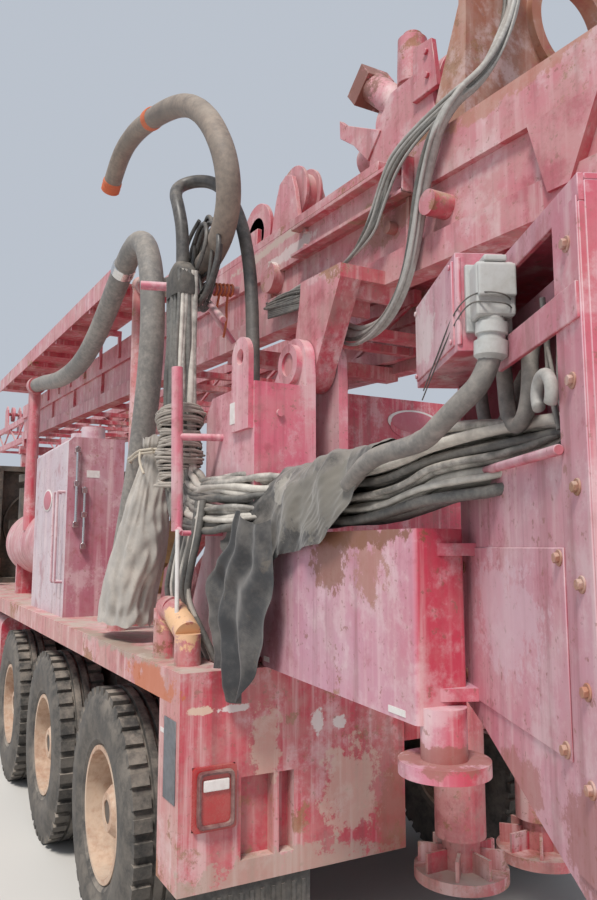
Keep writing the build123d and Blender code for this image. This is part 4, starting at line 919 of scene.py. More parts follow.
def turned_part(name: str, start: Vector, end: Vector, profile: list[tuple[float, float]],
                sides: int = 28) -> bpy.types.Object:
    """A turned part along a line: (share of the length, radius in metres) stops."""
    side, rise = crosswise(start, end)
    rows = [ring(start.lerp(end, share), side, rise, (radius, radius), sides)
            for share, radius in profile]
    obj = surface(name, rows, closed=True, caps=True, levels=0)
    obj.data.set_sharp_from_angle(angle=SHARP)
    return obj


class Solids:
    """One rigid mesh, gathered from plates and rods in a part's own axes, in millimetres."""

    def __init__(self, name: str, place: Place) -> None:
        """Start an empty mesh.

        Args:
            name: Name of the object.
            place: Turns three coordinates of the part into a point of the frame.
        """
        self.name, self.place, self.bm = name, place, bmesh.new()

    def _skin(self, rows: list[list[Vector]]) -> None:
        """Close a stack of rings, with a face on each end."""
        made = [[self.bm.verts.new(point) for point in row] for row in rows]
        count = len(rows[0])
        for low, high in zip(made, made[1:]):
            for n in range(count):
                m = (n + 1) % count
                self.bm.faces.new((low[n], low[m], high[m], high[n]))
        self.bm.faces.new(made[0][::-1])
        self.bm.faces.new(made[-1])

    def plate(self, outline: list[tuple[float, float]], low: float, high: float) -> None:
        """Extrude an outline of (first, third) coordinates along the second one."""
        self._skin([[self.place(a, b, c) for a, c in outline] for b in (low, high)])

    def box(self, first: tuple, second: tuple, third: tuple) -> None:
        """A box from three (low, high) pairs."""
        (a0, a1), (c0, c1) = first, third
        self.plate([(a0, c0), (a1, c0), (a1, c1), (a0, c1)], *second)

    def rod(self, start: tuple, end: tuple, radius: float, sides: int = 20) -> None:
        """A round bar between two points."""
        low, high = self.place(*start), self.place(*end)
        side, rise = crosswise(low, high)
        self._skin([ring(spot, side, rise, (radius / 1000, radius / 1000), sides)
                    for spot in (low, high)])

    def turn(self, outline: list[tuple[float, float]], sides: int = 72) -> None:
        """Turn a closed outline of (radius, along) about the second axis."""
        rows = []
        for n in range(sides):
            angle = tau * n / sides
            rows.append([self.bm.verts.new(self.place(
                radius * cos(angle), along, radius * sin(angle)))
                for radius, along in outline])
        for n, row in enumerate(rows):
            after = rows[(n + 1) % sides]
            for k in range(len(outline)):
                m = (k + 1) % len(outline)
                self.bm.faces.new((row[k], row[m], after[m], after[k]))

    def make(self, bevel: float) -> bpy.types.Object:
        """Finish the mesh, with its sharp edges broken."""
        obj = new_mesh(self.name, self.bm)
        obj.data.set_sharp_from_angle(angle=SHARP)
        if bevel:
            modifier = obj.modifiers.new("edges", "BEVEL")
            modifier.width = bevel
            modifier.segments = 1
            modifier.limit_method = "ANGLE"
            modifier.angle_limit = BROKEN
        return obj


@dataclass
class Wheels(Part):
    """Every tyre with its tread, and the rims with their nuts.

    Attributes:
        lugs: Number of lugs on each shoulder.
        lug_depth: Their depth in millimetres.
        nuts: Number of nuts.
        nut_circle: Radius of the circle that they stand on.
        wide: Width of a tyre.
        twin_gap: Gap between twin tyres.
    """

    lugs: int = 40
    lug_depth: float = 20
    nuts: int = 10
    nut_circle: float = 168
    wide: float = 300
    twin_gap: float = 40

    def tyre(self, solids: Solids, high: float) -> None:
        """A carcass with two ribs, and a band of lugs on each shoulder."""
        low, base, middle = high - self.wide, TYRE_R - self.lug_depth, high - self.wide / 2
        half = [(RIM_R, 30), (RIM_R + 25, 12), (RIM_R + 45, 12), (RIM_R + 70, 0), (base - 55, 0),
                (base, 22)]
        solids.turn([(radius, low + inset) for radius, inset in half]
                    + [(radius, high - inset) for radius, inset in half[::-1]])
        for start in (middle - 46, middle + 7):
            solids.turn([(base - 10, start), (TYRE_R, start + 3), (TYRE_R, start + 36),
                         (base - 10, start + 39)])
        pitch = tau / self.lugs
        for shift, start, end in ((0, low + 16, middle - 60), (0.5, middle + 60, high - 16)):
            for n in range(self.lugs):
                outline = [(radius * cos(pitch * (n + share + shift)),
                            radius * sin(pitch * (n + share + shift)))
                           for radius, share in ((base - 40, 0), (TYRE_R, 0.04), (TYRE_R, 0.62),
                                                 (base - 40, 0.68))]
                solids.plate(outline, start, end)

    def rim(self, solids: Solids, twin: bool) -> None:
        """The barrel, the dished disc with its hub, and the nuts."""
        inner, bore, inside = RIM_R - 20, 51, HALF_WIDTH - self.wide
        start = inside - 320 if twin else inside + 20
        solids.turn([(inner, start), (RIM_R, start), (RIM_R, HALF_WIDTH - 20),
                     (inner, HALF_WIDTH - 20)])
        if twin:
            disc, nuts_at = inside - 20, inside + 10
            outline = [(bore, -40), (150, -40), (190, -14), (inner, -14), (inner, 14), (190, 14),
                       (150, 60), (118, 80), (110, 240), (80, 270), (bore, 270)]
        else:
            disc, nuts_at = HALF_WIDTH - 85, HALF_WIDTH - 71
            outline = [(bore, -130), (120, -130), (130, -20), (190, 0), (inner, -50),
                       (inner, -25), (190, 25), (120, 25), (110, 60), (bore, 60)]
        solids.turn([(radius, disc + along) for radius, along in outline])
        for n in range(self.nuts):
            angle = tau * n / self.nuts
            a, c = self.nut_circle * cos(angle), self.nut_circle * sin(angle)
            solids.rod((a, nuts_at, c), (a, nuts_at + 28, c), 17, 6)

    def build(self) -> None:
        """Replace the wheels of the construction by treaded ones."""
        for name in [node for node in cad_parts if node.startswith("wheel")]:
            finish = wheel_finish(name)
            hand = 1 if name.endswith("left") else -1

            def place(a: float, b: float, c: float, axle: float = finish.axle_x,
                      hand: int = hand) -> Vector:
                return chassis(axle + a, hand * b, TYRE_R + c)

            solids, twin = Solids(name + "_treaded", place), "rear" in name
            self.tyre(solids, HALF_WIDTH)
            if twin:
                self.tyre(solids, HALF_WIDTH - self.wide - self.twin_gap)
            self.rim(solids, twin)
            self.rigid(solids, finish, name, 0, (name,))
            LOG.info("treaded %s", name)


class RotaryHead(Part):
    """The head on the mast: carriage, cheeks, motors, swivel, sheaves and drum."""

    def build(self) -> None:
        """Replace the construction's plainer head."""
        solids = Solids("rotary_head", on_mast)
        solids.box((-200, 1500), (-600, 600), (750.9, 790))
        for y in (-230, 200):
            solids.plate([(-150, 780), (470, 780), (410, 1240), (260, 1390), (-20, 1390)],
                         y, y + 30)
        for start, end, radius, sides in ((-60, 420, 205, 36), (-260, -60, 75, 28),
                                          (420, 760, 95, 28)):
            solids.rod((start, 0, 1300), (end, 0, 1300), radius, sides)
        for hand in (-1, 1):
            y = 150 * hand
            solids.rod((545, y, 1587), (230, y, 1310), 72, 28)
            solids.rod((205, y, 1420), (205, y, 1640), 68, 28)
            solids.rod((205, y, 1640), (205, y, 1668), 44, 24)
            solids.plate([(455, 1590), (580, 1480), (650, 1560), (520, 1670)], y - 78, y + 78)
            solids.plate([(-115, 1240), (60, 1240), (60, 1490), (-70, 1470)],
                         *sorted((y + 78 * hand, y + 104 * hand)))
            for u, w in ((-40, 1420), (-50, 1310)):
                solids.rod((u, y + 104 * hand, w), (u, y + 118 * hand, w), 14, 6)
            solids.plate([(330, 1240), (430, 1130), (560, 1260), (690, 1350), (700, 1450),
                          (640, 1400)], *sorted((y + 60 * hand, y + 90 * hand)))
        for y in (205, 365):
            solids.plate([(790, 780), (1210, 780), (1110, 1130), (1070, 1215), (1000, 1240),
                          (930, 1215), (890, 1130)], y, y + 25)
        solids.rod((1000, 225, 1130), (1000, 370, 1130), 40)
        for y, wide, radius in ((250, 18, 165), (268, 62, 135), (330, 18, 165)):
            solids.rod((1000, y, 1130), (1000, y + wide, 1130), radius, 40)
        solids.rod((1380, -260, 1020), (1380, 380, 1020), 110, 32)
        for y in (-260, 40, 355):
            solids.rod((1380, y, 1020), (1380, y + 25, 1020), 190, 40)
        for y in (-300, 380):
            solids.box((1300, 1460), (y, y + 30), (780, 1040))
        self.rigid(solids, HEAD_PAINT, "head", 0.0022, ("top_head",))


@dataclass
class ConsoleShell(Part):
    """The driller's console: its sheet walls, the long opening, and what is bolted on.

    Attributes:
        back: Where its face starts along s, in millimetres.
        front: Where it ends.
        wall: Thickness of its sheet.
        deep: Where its far side is, behind the face.
    """

    back: float = -80
    front: float = 690
    wall: float = 12
    deep: float = -250

    def build(self) -> None:
        """Replace the construction's console by one with its full opening."""
        solids = Solids("console_shell", on_console)
        back, front, wall, deep = self.back, self.front, self.wall, self.deep
        foot = [(back, 1330), (60, 1300), (front, 1120)]
        solids.plate([*foot, (front, 2290), (620, 2290), (620, 1875), (-60, 1880), (-60, 2130),
                      (back, 2130)], -wall, 0)
        solids.plate([(back, 2130), (310, 2130), (310, 2290), (front, 2290), (front, 2340),
                      (back, 2340)], -wall, 0)
        solids.plate([*foot, (front, 2340), (back, 2340)], deep, deep + wall)
        solids.box((back, back + wall), (deep + wall, -wall), (1332, 2328))
        solids.box((front - wall, front), (deep + wall, -wall), (1125, 2328))
        solids.box((back, front), (deep + wall, -wall), (2328, 2340))
        solids.plate(foot + [(s, z + wall) for s, z in foot[::-1]], deep + wall, -wall)
        solids.box((285, front - 4), (0, 10), (2088, 2152))
        solids.box((-68, 575), (0, 4), (1352, 1710))
        solids.box((585, front), (0, 4), (1180, 2300))
        solids.rod((70, 14, 1884), (600, 14, 1878), 10)
        for out, z in ((-80, 1845), (-80, 2205), (-150, 2215)):
            solids.box((back + wall, front - wall), (out, out + 20), (z, z + 40))
        solids.box((-80, 310), (0, 107), (2127, 2346))
        solids.box((-66, 296), (100, 112), (2141, 2332))
        for s, z in ((-55, 2152), (285, 2152), (-55, 2320), (285, 2320)):
            solids.rod((s, 112, z), (s, 117, z), 7, 6)
        for s in (-70, 310):
            solids.rod((s, 100, 2140), (s, 100, 2334), 6, 10)
        self.rigid(solids, CONSOLE_PAINT, "arm", nodes=("console_cabinet",))
        bolts = Solids("console_bolts", on_console)
        for s, z in ((557, 1692), (557, 1368), (-50, 1660), (-50, 1400), (646, 1810),
                     (647, 1650), (650, 1480), (650, 1330), (646, 1990), (646, 2230)):
            bolts.rod((s, 3, z), (s, 7, z), 15, 18)
            bolts.rod((s, 6, z), (s, 15, z), 10, 6)
        self.rigid(bolts, RUSTY_STEEL, "arm", 0.001)


class RigFittings(Part):
    """Small rigid pieces fixed to the larger ones, each on a table of plates and rods."""

    def mast_shoe(self) -> None:
        """The bolted slide shoe on both sides of the mast."""
        solids = Solids("mast_shoe", on_mast)
        for hand in (1, -1):
            def span(low: float, high: float) -> tuple[float, float]:
                return tuple(sorted((hand * low, hand * high)))
            solids.box((-430, 415), span(600, 608), (575, 710))
            for w in (575, 695):
                solids.box((-430, 415), span(600, 650), (w, w + 14))
            solids.box((-430, -420), span(600, 650), (575, 709))
            for u in (340, -360):
                for w in (610, 680):
                    solids.rod((u, hand * 606, w), (u, hand * 624, w), 13, 6)
        self.rigid(solids, MAST_PAINT, "mast")

    def hose_bar(self) -> None:
        """The strut and the bar that carry the hoses beside the mast."""
        solids = Solids("hose_bar", chassis)
        solids.rod((340, 1000, 2640), (655, 1000, 2870), 14)
        solids.rod((600, 815, 2870), (735, 1235, 2870), 20)
        solids.rod((655, 815, 2640), (655, 1000, 2870), 14)
        self.rigid(solids, PINK_PAINT)

    def lamp_frames(self) -> None:
        """The bezels round the rear lamps."""
        for name, hand in (("left", 1), ("right", -1)):
            rows = [ring(chassis(x, hand * 1155, 880), Vector((0, 1, 0)), UP,
                         ((62 + grow) / 1000, (87 + grow) / 1000), 48, 9)
                    for x, grow in ((-1, 5), (-30, 3), (-32, 0), (-30, -7), (-21, -9))]
            obj = surface(f"lamp_bezel_{name}", rows, closed=True, levels=0)
            obj.data.set_sharp_from_angle(angle=radians(30))
            self.palette.put(obj, BEZEL, "root")
            self.palette.put(rounded_box(
                f"reversing_lens_{name}", chassis(-22, hand * 1155, 925), (0.012, 0.092, 0.036)),
                SIGN_WHITE, "root")

    def signs(self) -> None:
        """Bare plates and ovals, where the photograph has lettered ones."""
        for name, centre, (wide, tall), side, way in (
                ("oval_right_cabinet", chassis(1498, -840, 2520), (210, 80),
                 Vector((0, 1, 0)), Vector((-1, 0, 0))),
                ("oval_hydraulic_cabinet", chassis(2910, 1202, 2025), (150, 75),
                 Vector((1, 0, 0)), Vector((0, 1, 0)))):
            for part, grow, out, finish in (("rim", 1.0, 0.001, SIGN_WHITE),
                                            ("face", 0.86, 0.0028, SIGN_FACE)):
                rows = [ring(centre + way * (out + lift), side, UP,
                             (wide / 1000 * grow * k, tall / 1000 * grow * k), 48)
                        for lift, k in ((-0.002, 1.0), (0.001, 1.0), (0.0016, 0.985))]
                self.palette.put(surface(f"{name}_{part}", rows, closed=True, caps=True,
                                         levels=0), finish, "root")

    def plates(self) -> None:
        """The bare labels, the side reflector, a dot on the mast, and the sight tubes."""
        for name, place, finish, body, bevel, *boxes in (
                ("bare_labels", chassis, SIGN_WHITE, "root", 0,
                 ((51, 95), (1070, 1072), (2160, 2240)),
                 ((2298, 2300), (1005, 1085), (2140, 2185)),
                 ((60, 190), (1280, 1282), (1070, 1085))),
                ("bare_arm_labels", on_arm, SIGN_WHITE, "arm", 0,
                 ((100, 150), (72, 73.5), (1318, 1335)),
                 ((960, 1040), (72, 73.5), (1310, 1326))),
                ("side_reflector", chassis, REFLECTOR, "root", 0.0016,
                 ((30, 150), (1280, 1283), (860, 1130)))):
            plates = Solids(name, place)
            for spans in boxes:
                plates.box(*spans)
            self.rigid(plates, finish, body, bevel)
        dot = Solids("yellow_dot", on_mast)
        dot.rod((140, 600, 700), (140, 603, 700), 22, 24)
        self.rigid(dot, YELLOW, "mast")
        tubes = Solids("sight_tubes", chassis)
        for y, low, high in ((1150, 1830, 2330), (1100, 1700, 2080)):
            tubes.rod((2272, y, low), (2272, y, high), 9)
            for z in (low, high - 40, (low + high) / 2):
                tubes.box((2262, 2300), (y - 16, y + 16), (z, z + 34))
        self.rigid(tubes, CHROME)

    def build(self) -> None:
        """Make every small fitting."""
        for step in (self.mast_shoe, self.hose_bar, self.lamp_frames, self.signs, self.plates):
            step()


BLEND_START, BLEND_END = on_arm(-120, 0, 1800), on_arm(330, 0, 1800)


@dataclass
class HosePack(Part):
    """The small hoses that hang at the hinge and lie along the arm into the console.

    Attributes:
        columns: Hoses across the pack.
        rows: Hoses down it.
        thick: Outer diameters in metres to choose from.
        turns: Turns of the cord round it.
        pitch: Height of one turn in millimetres.
        seed: Seed of its unevenness.
    """

    columns: int = 5
    rows: int = 6
    thick: tuple[float, ...] = (0.018, 0.023, 0.028)
    turns: int = 40
    pitch: float = 8.0
    seed: int = 11

    def route(self, i: int, j: int, chance: random.Random) -> list[Vector]:
        """One hose of the pack: i counts across it and j down it."""
        x = 405 + 125 * i / (self.columns - 1)
        y = 1102 + 68 * j / (self.rows - 1)
        low = 1782 + 166 * (1 - j / (self.rows - 1))
        out = -46 + 92 * i / (self.columns - 1)

        def near(reach: float) -> float:
            return chance.uniform(-reach, reach)

        fan = 1 + 0.16 * sin(i * 1.9 + j * 2.3)
        bulge = 1 + 0.25 * sin(j * 2.4 + i)
        points = through(chassis, [
            (x, y, 2850), (x + near(8), y + near(6), 2700), (x + near(14), y + near(8), 2560),
            (x + near(8), y + near(6), 2400), (x + near(10), y + near(6), 2250),
            (x - 10, y + near(6), 2120), (x - 30, y + near(8), 2000),
            (x - 90, y + 14 + near(12), low + 60 * fan),
            (x - 190, y + 16 + near(14), low * 1.004 + near(20)),
            (110 - 20 * (i % 2), 1120 + out / 3 + near(14), low + near(24)),
            (-10, 1070 + out / 2 * bulge + near(14), low + near(26)),
            (-110, 985 + out * 0.8 * bulge + near(12), low + near(16))])
        for u in (250, 400, 560, 720, 880, 1010):
            lift = ramp(u, (250, 0), (880, 6), (1010, 22))
            points.append(on_arm(u, out * 0.9 + near(7), low + lift + near(9)))
        points += [on_arm(1130, out * 0.8 + near(10), low + 45 + near(14)),
                   on_console(150 + 40 * i, -56, min(1975, low + 60) + near(8)),
                   on_console(240 + 55 * i + near(12), -130, 1960 + near(18))]
        return points

    def build(self) -> None:
        """Make the pack, its wound cord and the boot over its top."""
        chance = random.Random(self.seed)
        routes = [(self.route(i, j, chance), chance.choice(self.thick))
                  for i in range(self.columns) for j in range(self.rows)]
        # One hose in three takes the pale finish: partly dust and wear, partly painted highlight.
        for n, (name, finish, nodes) in enumerate((
                ("hose_pack", HOSE_PACK, ("hose_bundle", "arm_bundle")),
                ("pale_hoses", HOSE_PALE, ()), ("dark_hoses", CABLE_DARK, ()))):
            pack = self.palette.put(strand_mesh(name, routes[n::3]), finish, None, *nodes)
            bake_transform(pack)
        self.boot()
        self.wound_cord(chance)
        LOG.info("hose pack of %d hoses", len(routes))

    def boot(self) -> None:
        """A rubber boot that closes the pack's top round the single black hose."""
        rows = [ring(chassis(469, 1135, z), Vector((1, 0, 0)), Vector((0, 1, 0)),
                     (half_x / 1000, half_y / 1000), 28, 3.4)
                for z, half_x, half_y in ((2745, 79, 52), (2752, 82, 54), (2835, 80, 53),
                                          (2862, 70, 48), (2884, 46, 40), (2896, 34, 33))]
        self.palette.put(surface("hose_boot", rows, closed=True), RUBBER, "root")

    def wound_cord(self, chance: random.Random) -> None:
        """Thin cord wound round the upright hoses in close, uneven turns."""
        routes = []
        for n in range(self.turns):
            z = 2268 - self.pitch * n + chance.uniform(-3, 3)
            lean = chance.uniform(-22, 22)
            size = 98 + 12 * sin(n * 0.33) + chance.uniform(-5, 5)
            turn = [(462 + size * 1.08 * cos(angle), 1135 + size * 0.9 * sin(angle),
                     z + lean * cos(angle))
                    for angle in [tau * k / 8 + n for k in range(9)]]
            routes.append((turn, chance.choice((0.009, 0.012, 0.014))))
        self.lines("wound_cord", chassis, routes, CORD_GREY, across=2)


@dataclass
class ArmCover(Part):
    """The black cloth that is thrown over the arm's hoses, and its tail beside the hinge.

    Attributes:
        sag: How much longer the wrap's hang is than its straight edge; not used.
        tail_flat: Flat length of the tail in metres; not used.
    """

    sag: float = 1.35
    tail_flat: float = 0.66

    def wrap_point(self, a: float, b: float) -> Vector:
        """A point of the wrap, a from its hinge end and b from its hidden edge over the top."""
        left = ramp(b, (0, 360), (0.25, 360), (0.42, 335), (0.58, 275), (0.7, 160), (0.85, 45),
                    (1, -15))
        right = ramp(b, (0, 840), (0.25, 862), (0.45, 890), (0.7, 900), (0.85, 800), (1, 640))
        u = left + (right - left) * a
        out = ramp(b, (0, -80), (0.12, -84), (0.25, -64), (0.42, 0), (0.58, 64), (0.7, 92),
                   (0.85, 102), (1, 92))
        low = ramp(u, (-20, 1745), (60, 1610), (110, 1598), (330, 1685), (640, 1722))
        z = ramp(b, (0, 1790), (0.12, 1885), (0.25, 1962), (0.42, 1988), (0.58, 1972),
                 (0.7, 1905), (0.85, 1805), (1, low))
        place = Vector((u, out, z)) / 1000
        folds = sin(tau * (u / 300 + b * 1.4) + 7 * wobble(place, 3.4, 1))
        crease = 1 - 2 * abs(wobble(place, 8, 12))
        depth = 8 * folds + 15 * wobble(place, 7, 2) + 12 * crease
        depth += 9 * wobble(place, 19, 3) + 5 * (1 - 2 * abs(wobble(place, 26, 15)))
        depth *= min(1, 0.35 + 1.5 * b)
        normal = ramp(b, (0, -90), (0.25, -40), (0.42, 0), (0.58, 40), (0.8, 85), (1, 90))
        out += max(-10, depth) * sin(radians(normal))
        z += max(-6, depth) * cos(radians(normal))
        slack = ramp(u, (0, 105), (200, 0)) / 1000 if b > 0.6 else 0
        return on_arm(u, out, z) + Vector((0, slack, 0))

    def tail_point(self, a: float, b: float) -> Vector:
        """A point of the tail, a from its far side and b down from the arm."""
        right = ramp(b, (0, -265), (0.35, -290), (0.75, -215), (1, -120))
        left = ramp(b, (0, -60), (0.2, 20), (0.38, 180), (0.6, 150), (0.8, 105), (1, 95))
        x = left + (right - left) * a
        z = ramp(b, (0, 1810), (1, 1215)) + 26 * sin(5 * a + 1)
        place = Vector((x, 1100, z)) / 1000
        folds = sin(tau * a * 2.6 + 6 * wobble(place, 2.4, 4) + 1.6 * b)
        crease = 1 - 2 * abs(wobble(place, 9, 13))
        y = 1112 + (7 + 13 * b) * folds + 13 * wobble(place, 10, 5) + 9 * crease
        y -= ramp(a, (0, 10), (0.5, -14), (1, 40)) * (1 - b)
        return chassis(x, max(1078, y), z)

    def sheet(self, name: str, finish: Finish, grid: list[list[Vector]], tall: float,
              *nodes: str) -> None:
        obj = self.palette.put(surface(name, grid), finish, None, *nodes)
        bpy.context.view_layer.update()
        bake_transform(obj)

    def build(self) -> None:
        """Make both pieces, each a sheet."""
        wrap, tail = ([[point(j / columns, i / rows) for j in range(columns + 1)]
                       for i in range(rows + 1)]
                      for point, columns, rows in ((self.wrap_point, 84, 46),
                                                   (self.tail_point, 34, 44)))
        self.sheet("black_cloth", BLACK_CLOTH, wrap,
                   (wrap[-1][0] - wrap[0][0]).length * self.sag, "arm_cover")
        self.sheet("black_cloth_tail", TAIL_CLOTH, tail, self.tail_flat)


@dataclass
class Tarpaulin(Part):
    """The grey tarpaulin gathered round the foot of the hoses and tied with rope.

    Attributes:
        stops: Middle along X, height, and half width along X and Y of its rings.
        middle_y: Middle of the rings along Y.
        between: Rings from one stop to the next.
        count: Points of a ring.
        flat: Flat height of the cloth in metres; not used.
    """

    stops: tuple = ((1105, 1366, 246, 108), (1080, 1420, 244, 112), (1020, 1520, 234, 114),
                    (925, 1650, 212, 110), (842, 1780, 184, 102), (778, 1890, 146, 92),
                    (722, 1985, 112, 78), (684, 2060, 84, 62), (658, 2105, 66, 52),
                    (638, 2140, 84, 66), (624, 2172, 92, 70))
    middle_y: float = 1165
    between: int = 5
    count: int = 96
    flat: float = 0.98

    def row(self, n: int) -> list[Vector]:
        """One ring of the cloth, counted from its foot."""
        k, share = divmod(n, self.between)
        ends = self.stops[k], self.stops[min(k + 1, len(self.stops) - 1)]
        x, z, half_x, half_y = (p + (q - p) * share / self.between for p, q in zip(*ends))
        row = []
        for m in range(self.count):
            angle = tau * m / self.count
            place = Vector((cos(angle) * 0.3, sin(angle) * 0.3, z / 1000))
            folds = 0.06 * sin(6 * angle + 6 * wobble(place, 2.6, 6) + z / 150)
            folds += 0.035 * sin(15 * angle + 7 * wobble(place, 4, 7))
            folds += 0.13 * wobble(place, 5, 8) + 0.06 * (1 - 2 * abs(wobble(place, 9, 14)))
            folds += 0.035 * sin(z / 24 + 9 * wobble(place, 3, 16))
            grow = 1 + folds * (0.7 if half_x < 80 else 1)
            hang = 16 * wobble(place, 12, 9) + (22 * wobble(place, 6, 10) if n == 0 else 0)
            row.append(chassis(
                x + half_x * grow * cos(angle),
                self.middle_y + half_y * min(1.0, grow * 0.96) * sin(angle), z + hang))
        return row

    def build(self) -> None:
        """Make the gathered cloth and the rope round it."""
        rings = (len(self.stops) - 1) * self.between + 1
        obj = surface("grey_tarpaulin", [self.row(n) for n in range(rings)], closed=True)
        self.palette.put(obj, GREY_TARP, "root", "grey_tarp")
        self.rope()

    def rope(self) -> None:
        """Two turns of cream rope round the tarpaulin's neck and the riser hose."""
        turn = [(655, 1240), (560, 1215), (535, 1150), (580, 1085), (690, 1062),
                (860, 1040), (1010, 1022), (1120, 1055), (1132, 1130), (1070, 1176),
                (950, 1190), (800, 1220), (655, 1240), (560, 1215)]
        routes = [([(x, y + grow * (1 if y > 1120 else -1), 2105 + lift + (x - 655) * 0.02)
                    for x, y in turn], 0.011) for lift, grow in ((0, 0), (12, 4))]
        routes.append(([(650, 1243, 2110), (640, 1250, 2080), (620, 1246, 2040),
                        (600, 1240, 2015)], 0.011))
        self.lines("cream_rope", chassis, routes, ROPE_CREAM)


class ConsoleFittings(Part):
    """The connector, its hose, and what fills the console's opening."""

    def connector(self) -> None:
        """A grey receptacle on the junction box with a gland below it."""
        for name, s, out, z, size, bevel in (
                ("receptacle_base", 316, 38, 2240, (0.014, 0.1, 0.15), 0.004),
                ("receptacle", 345, 38, 2246, (0.058, 0.084, 0.118), 0.01),
                ("receptacle_lid", 378, 38, 2262, (0.014, 0.08, 0.07), 0.005),
                ("receptacle_hinge", 350, 38, 2312, (0.05, 0.05, 0.014), 0.005)):
            self.palette.put(rounded_box(name, on_console(s, out, z), size, CONSOLE_ANGLE, bevel),
                             PLASTIC_GREY, "arm")
        top, foot = on_console(345, 40, 2190), on_console(344, 46, 2098)
        self.palette.put(turned_part("gland", top, foot, [
            (0, 0.026), (0.12, 0.028), (0.14, 0.034), (0.4, 0.034), (0.42, 0.029), (0.55, 0.029),
            (0.57, 0.036), (0.9, 0.035), (1.0, 0.024)]), PLASTIC_GREY, "arm")
        self.lines("tie_wires", on_console, [
            ([(330, -10, 2215), (392, 10, 2222), (396, 60, 2232), (352, 92, 2236),
              (300, 112, 2210), (160, 114, 2150), (20, 114, 2100)], 0.0035),
            ([(330, -10, 2200), (393, 8, 2205), (395, 62, 2210), (350, 92, 2222),
              (290, 113, 2180), (140, 114, 2128), (0, 113, 2080)], 0.0035)], CABLE_DARK, "arm", 1)

    def feed_hose(self) -> None:
        """The grey hose that curves from the gland down onto the pack, and lines behind it."""
        points = through(on_console, [(344, 46, 2106), (342, 62, 2055), (300, 96, 2018),
                                      (230, 130, 1978), (150, 148, 1950)])
        points += through(on_arm, [(1000, 112, 1940), (930, 112, 1925), (870, 108, 1902),
                                   (800, 96, 1880)])
        inside = (
            ([(230, -20, 2118), (235, -22, 2060), (250, -20, 1990), (300, -22, 1962),
              (350, -25, 1985), (372, -28, 2050), (365, -30, 2120), (350, -60, 2170)], 0.036),
            ([(60, -18, 2120), (62, -20, 2060), (80, -24, 2000), (130, -30, 1975),
              (180, -40, 2000), (190, -60, 2060), (180, -90, 2110)], 0.032),
            ([(420, -40, 2210), (425, -45, 2120), (410, -50, 2030), (430, -60, 1940)], 0.012),
            ([(450, -60, 2180), (470, -50, 2100), (460, -48, 2020), (500, -60, 1930)], 0.01),
            ([(390, -50, 2150), (440, -42, 2090), (470, -40, 2000), (480, -60, 1925)], 0.008))
        self.palette.put(strand_mesh("console_hoses", [(points, 0.048)] + [
            (through(on_console, spots), thick) for spots, thick in inside]), HOSE_GREY, "arm")

    def opening(self) -> None:
        """Dark valves and pipes behind the opening, and the pale ring at its corner."""
        for n, (s, z, wide, tall) in enumerate(((470, 2236, 0.2, 0.06), (520, 2168, 0.11, 0.09),
                                                (400, 2252, 0.09, 0.07), (560, 2060, 0.08, 0.1))):
            self.palette.put(rounded_box(f"valve_{n}", on_console(s, -165, z),
                                         (wide, 0.06, tall), CONSOLE_ANGLE, 0.008),
                             DARK_METAL, "arm")
        centre = on_console(560, 20, 1985)
        side = (on_console(1, 0, 0) - on_console(0, 0, 0)).normalized()
        rows = []
        for n in range(25):
            angle = radians(-40 + 260 * n / 24)
            out = side * cos(angle) + UP * sin(angle)
            rows.append(ring(centre + out * 0.034, out, side.cross(UP), (0.012, 0.012), 12))
        self.palette.put(surface("pale_hook", rows, closed=True, caps=True, levels=0),
                         CABLE_PALE, "arm")

    def build(self) -> None:
        """Make every fitting of the console."""
        self.connector()
        self.feed_hose()
        self.opening()


class MastCables(Part):
    """The loose cables along the mast, beside the thick mast cable, and their coil."""

    def build(self) -> None:
        """Make the thin cables and the coil that hangs at the mast's side."""
        pale, dark = [], []
        for n, (shift, drop) in enumerate(((-26, 8), (-14, 24), (24, -12), (12, 34), (40, 16),
                                           (-40, -8))):
            route = [(u + shift * 0.6, y + 6 * sin(k * 1.7 + n), w + drop)
                     for k, (u, y, w) in enumerate(CABLE[:7])]
            route += [(-420 + shift, 672, 700 + drop), (-330, 668, 560 + drop * 3),
                      (-240 + shift, 664, 470 + drop), (-90, 650, 420), (120, 640, 408),
                      (330, 632, 404 + drop / 3)]
            (pale if n % 2 else dark).append((route, 0.016 - 0.001 * n))
        for n, (du, dy, dw, thick) in enumerate(((-26, 10, 20, 0.02), (24, 14, -12, 0.018),
                                                 (-4, 26, -34, 0.014))):
            route = [(u + du + 8 * sin(k * 0.9 + n), y + dy,
                      w + dw + 8 * cos(k * 1.3 + n))
                     for k, (u, y, w) in enumerate(CABLE)]
            (dark if n == 1 else pale).append((route, thick))
        for n in range(7):
            lift = 9 * n
            dark.append(([(640 + 18 * sin(n * 2.1), 640 + 4 * n % 24, 430 - lift),
                          (430, 648 + 3 * n, 425 - lift * 1.2 + 12 * sin(n)),
                          (220, 640 + 4 * n, 388 - lift + 10 * sin(n * 1.3)),
                          (60 - 14 * n, 650, 372 - lift * 0.7),
                          (190, 664, 352 - lift + 12 * cos(n)),
                          (420, 660 + 2 * n, 372 - lift), (620, 650, 398 - lift)], 0.013))
        self.lines("pale_cables", on_mast, pale, CABLE_PALE, "mast", 2)
        self.lines("dark_cables", on_mast, dark, CABLE_DARK, "mast", 2)


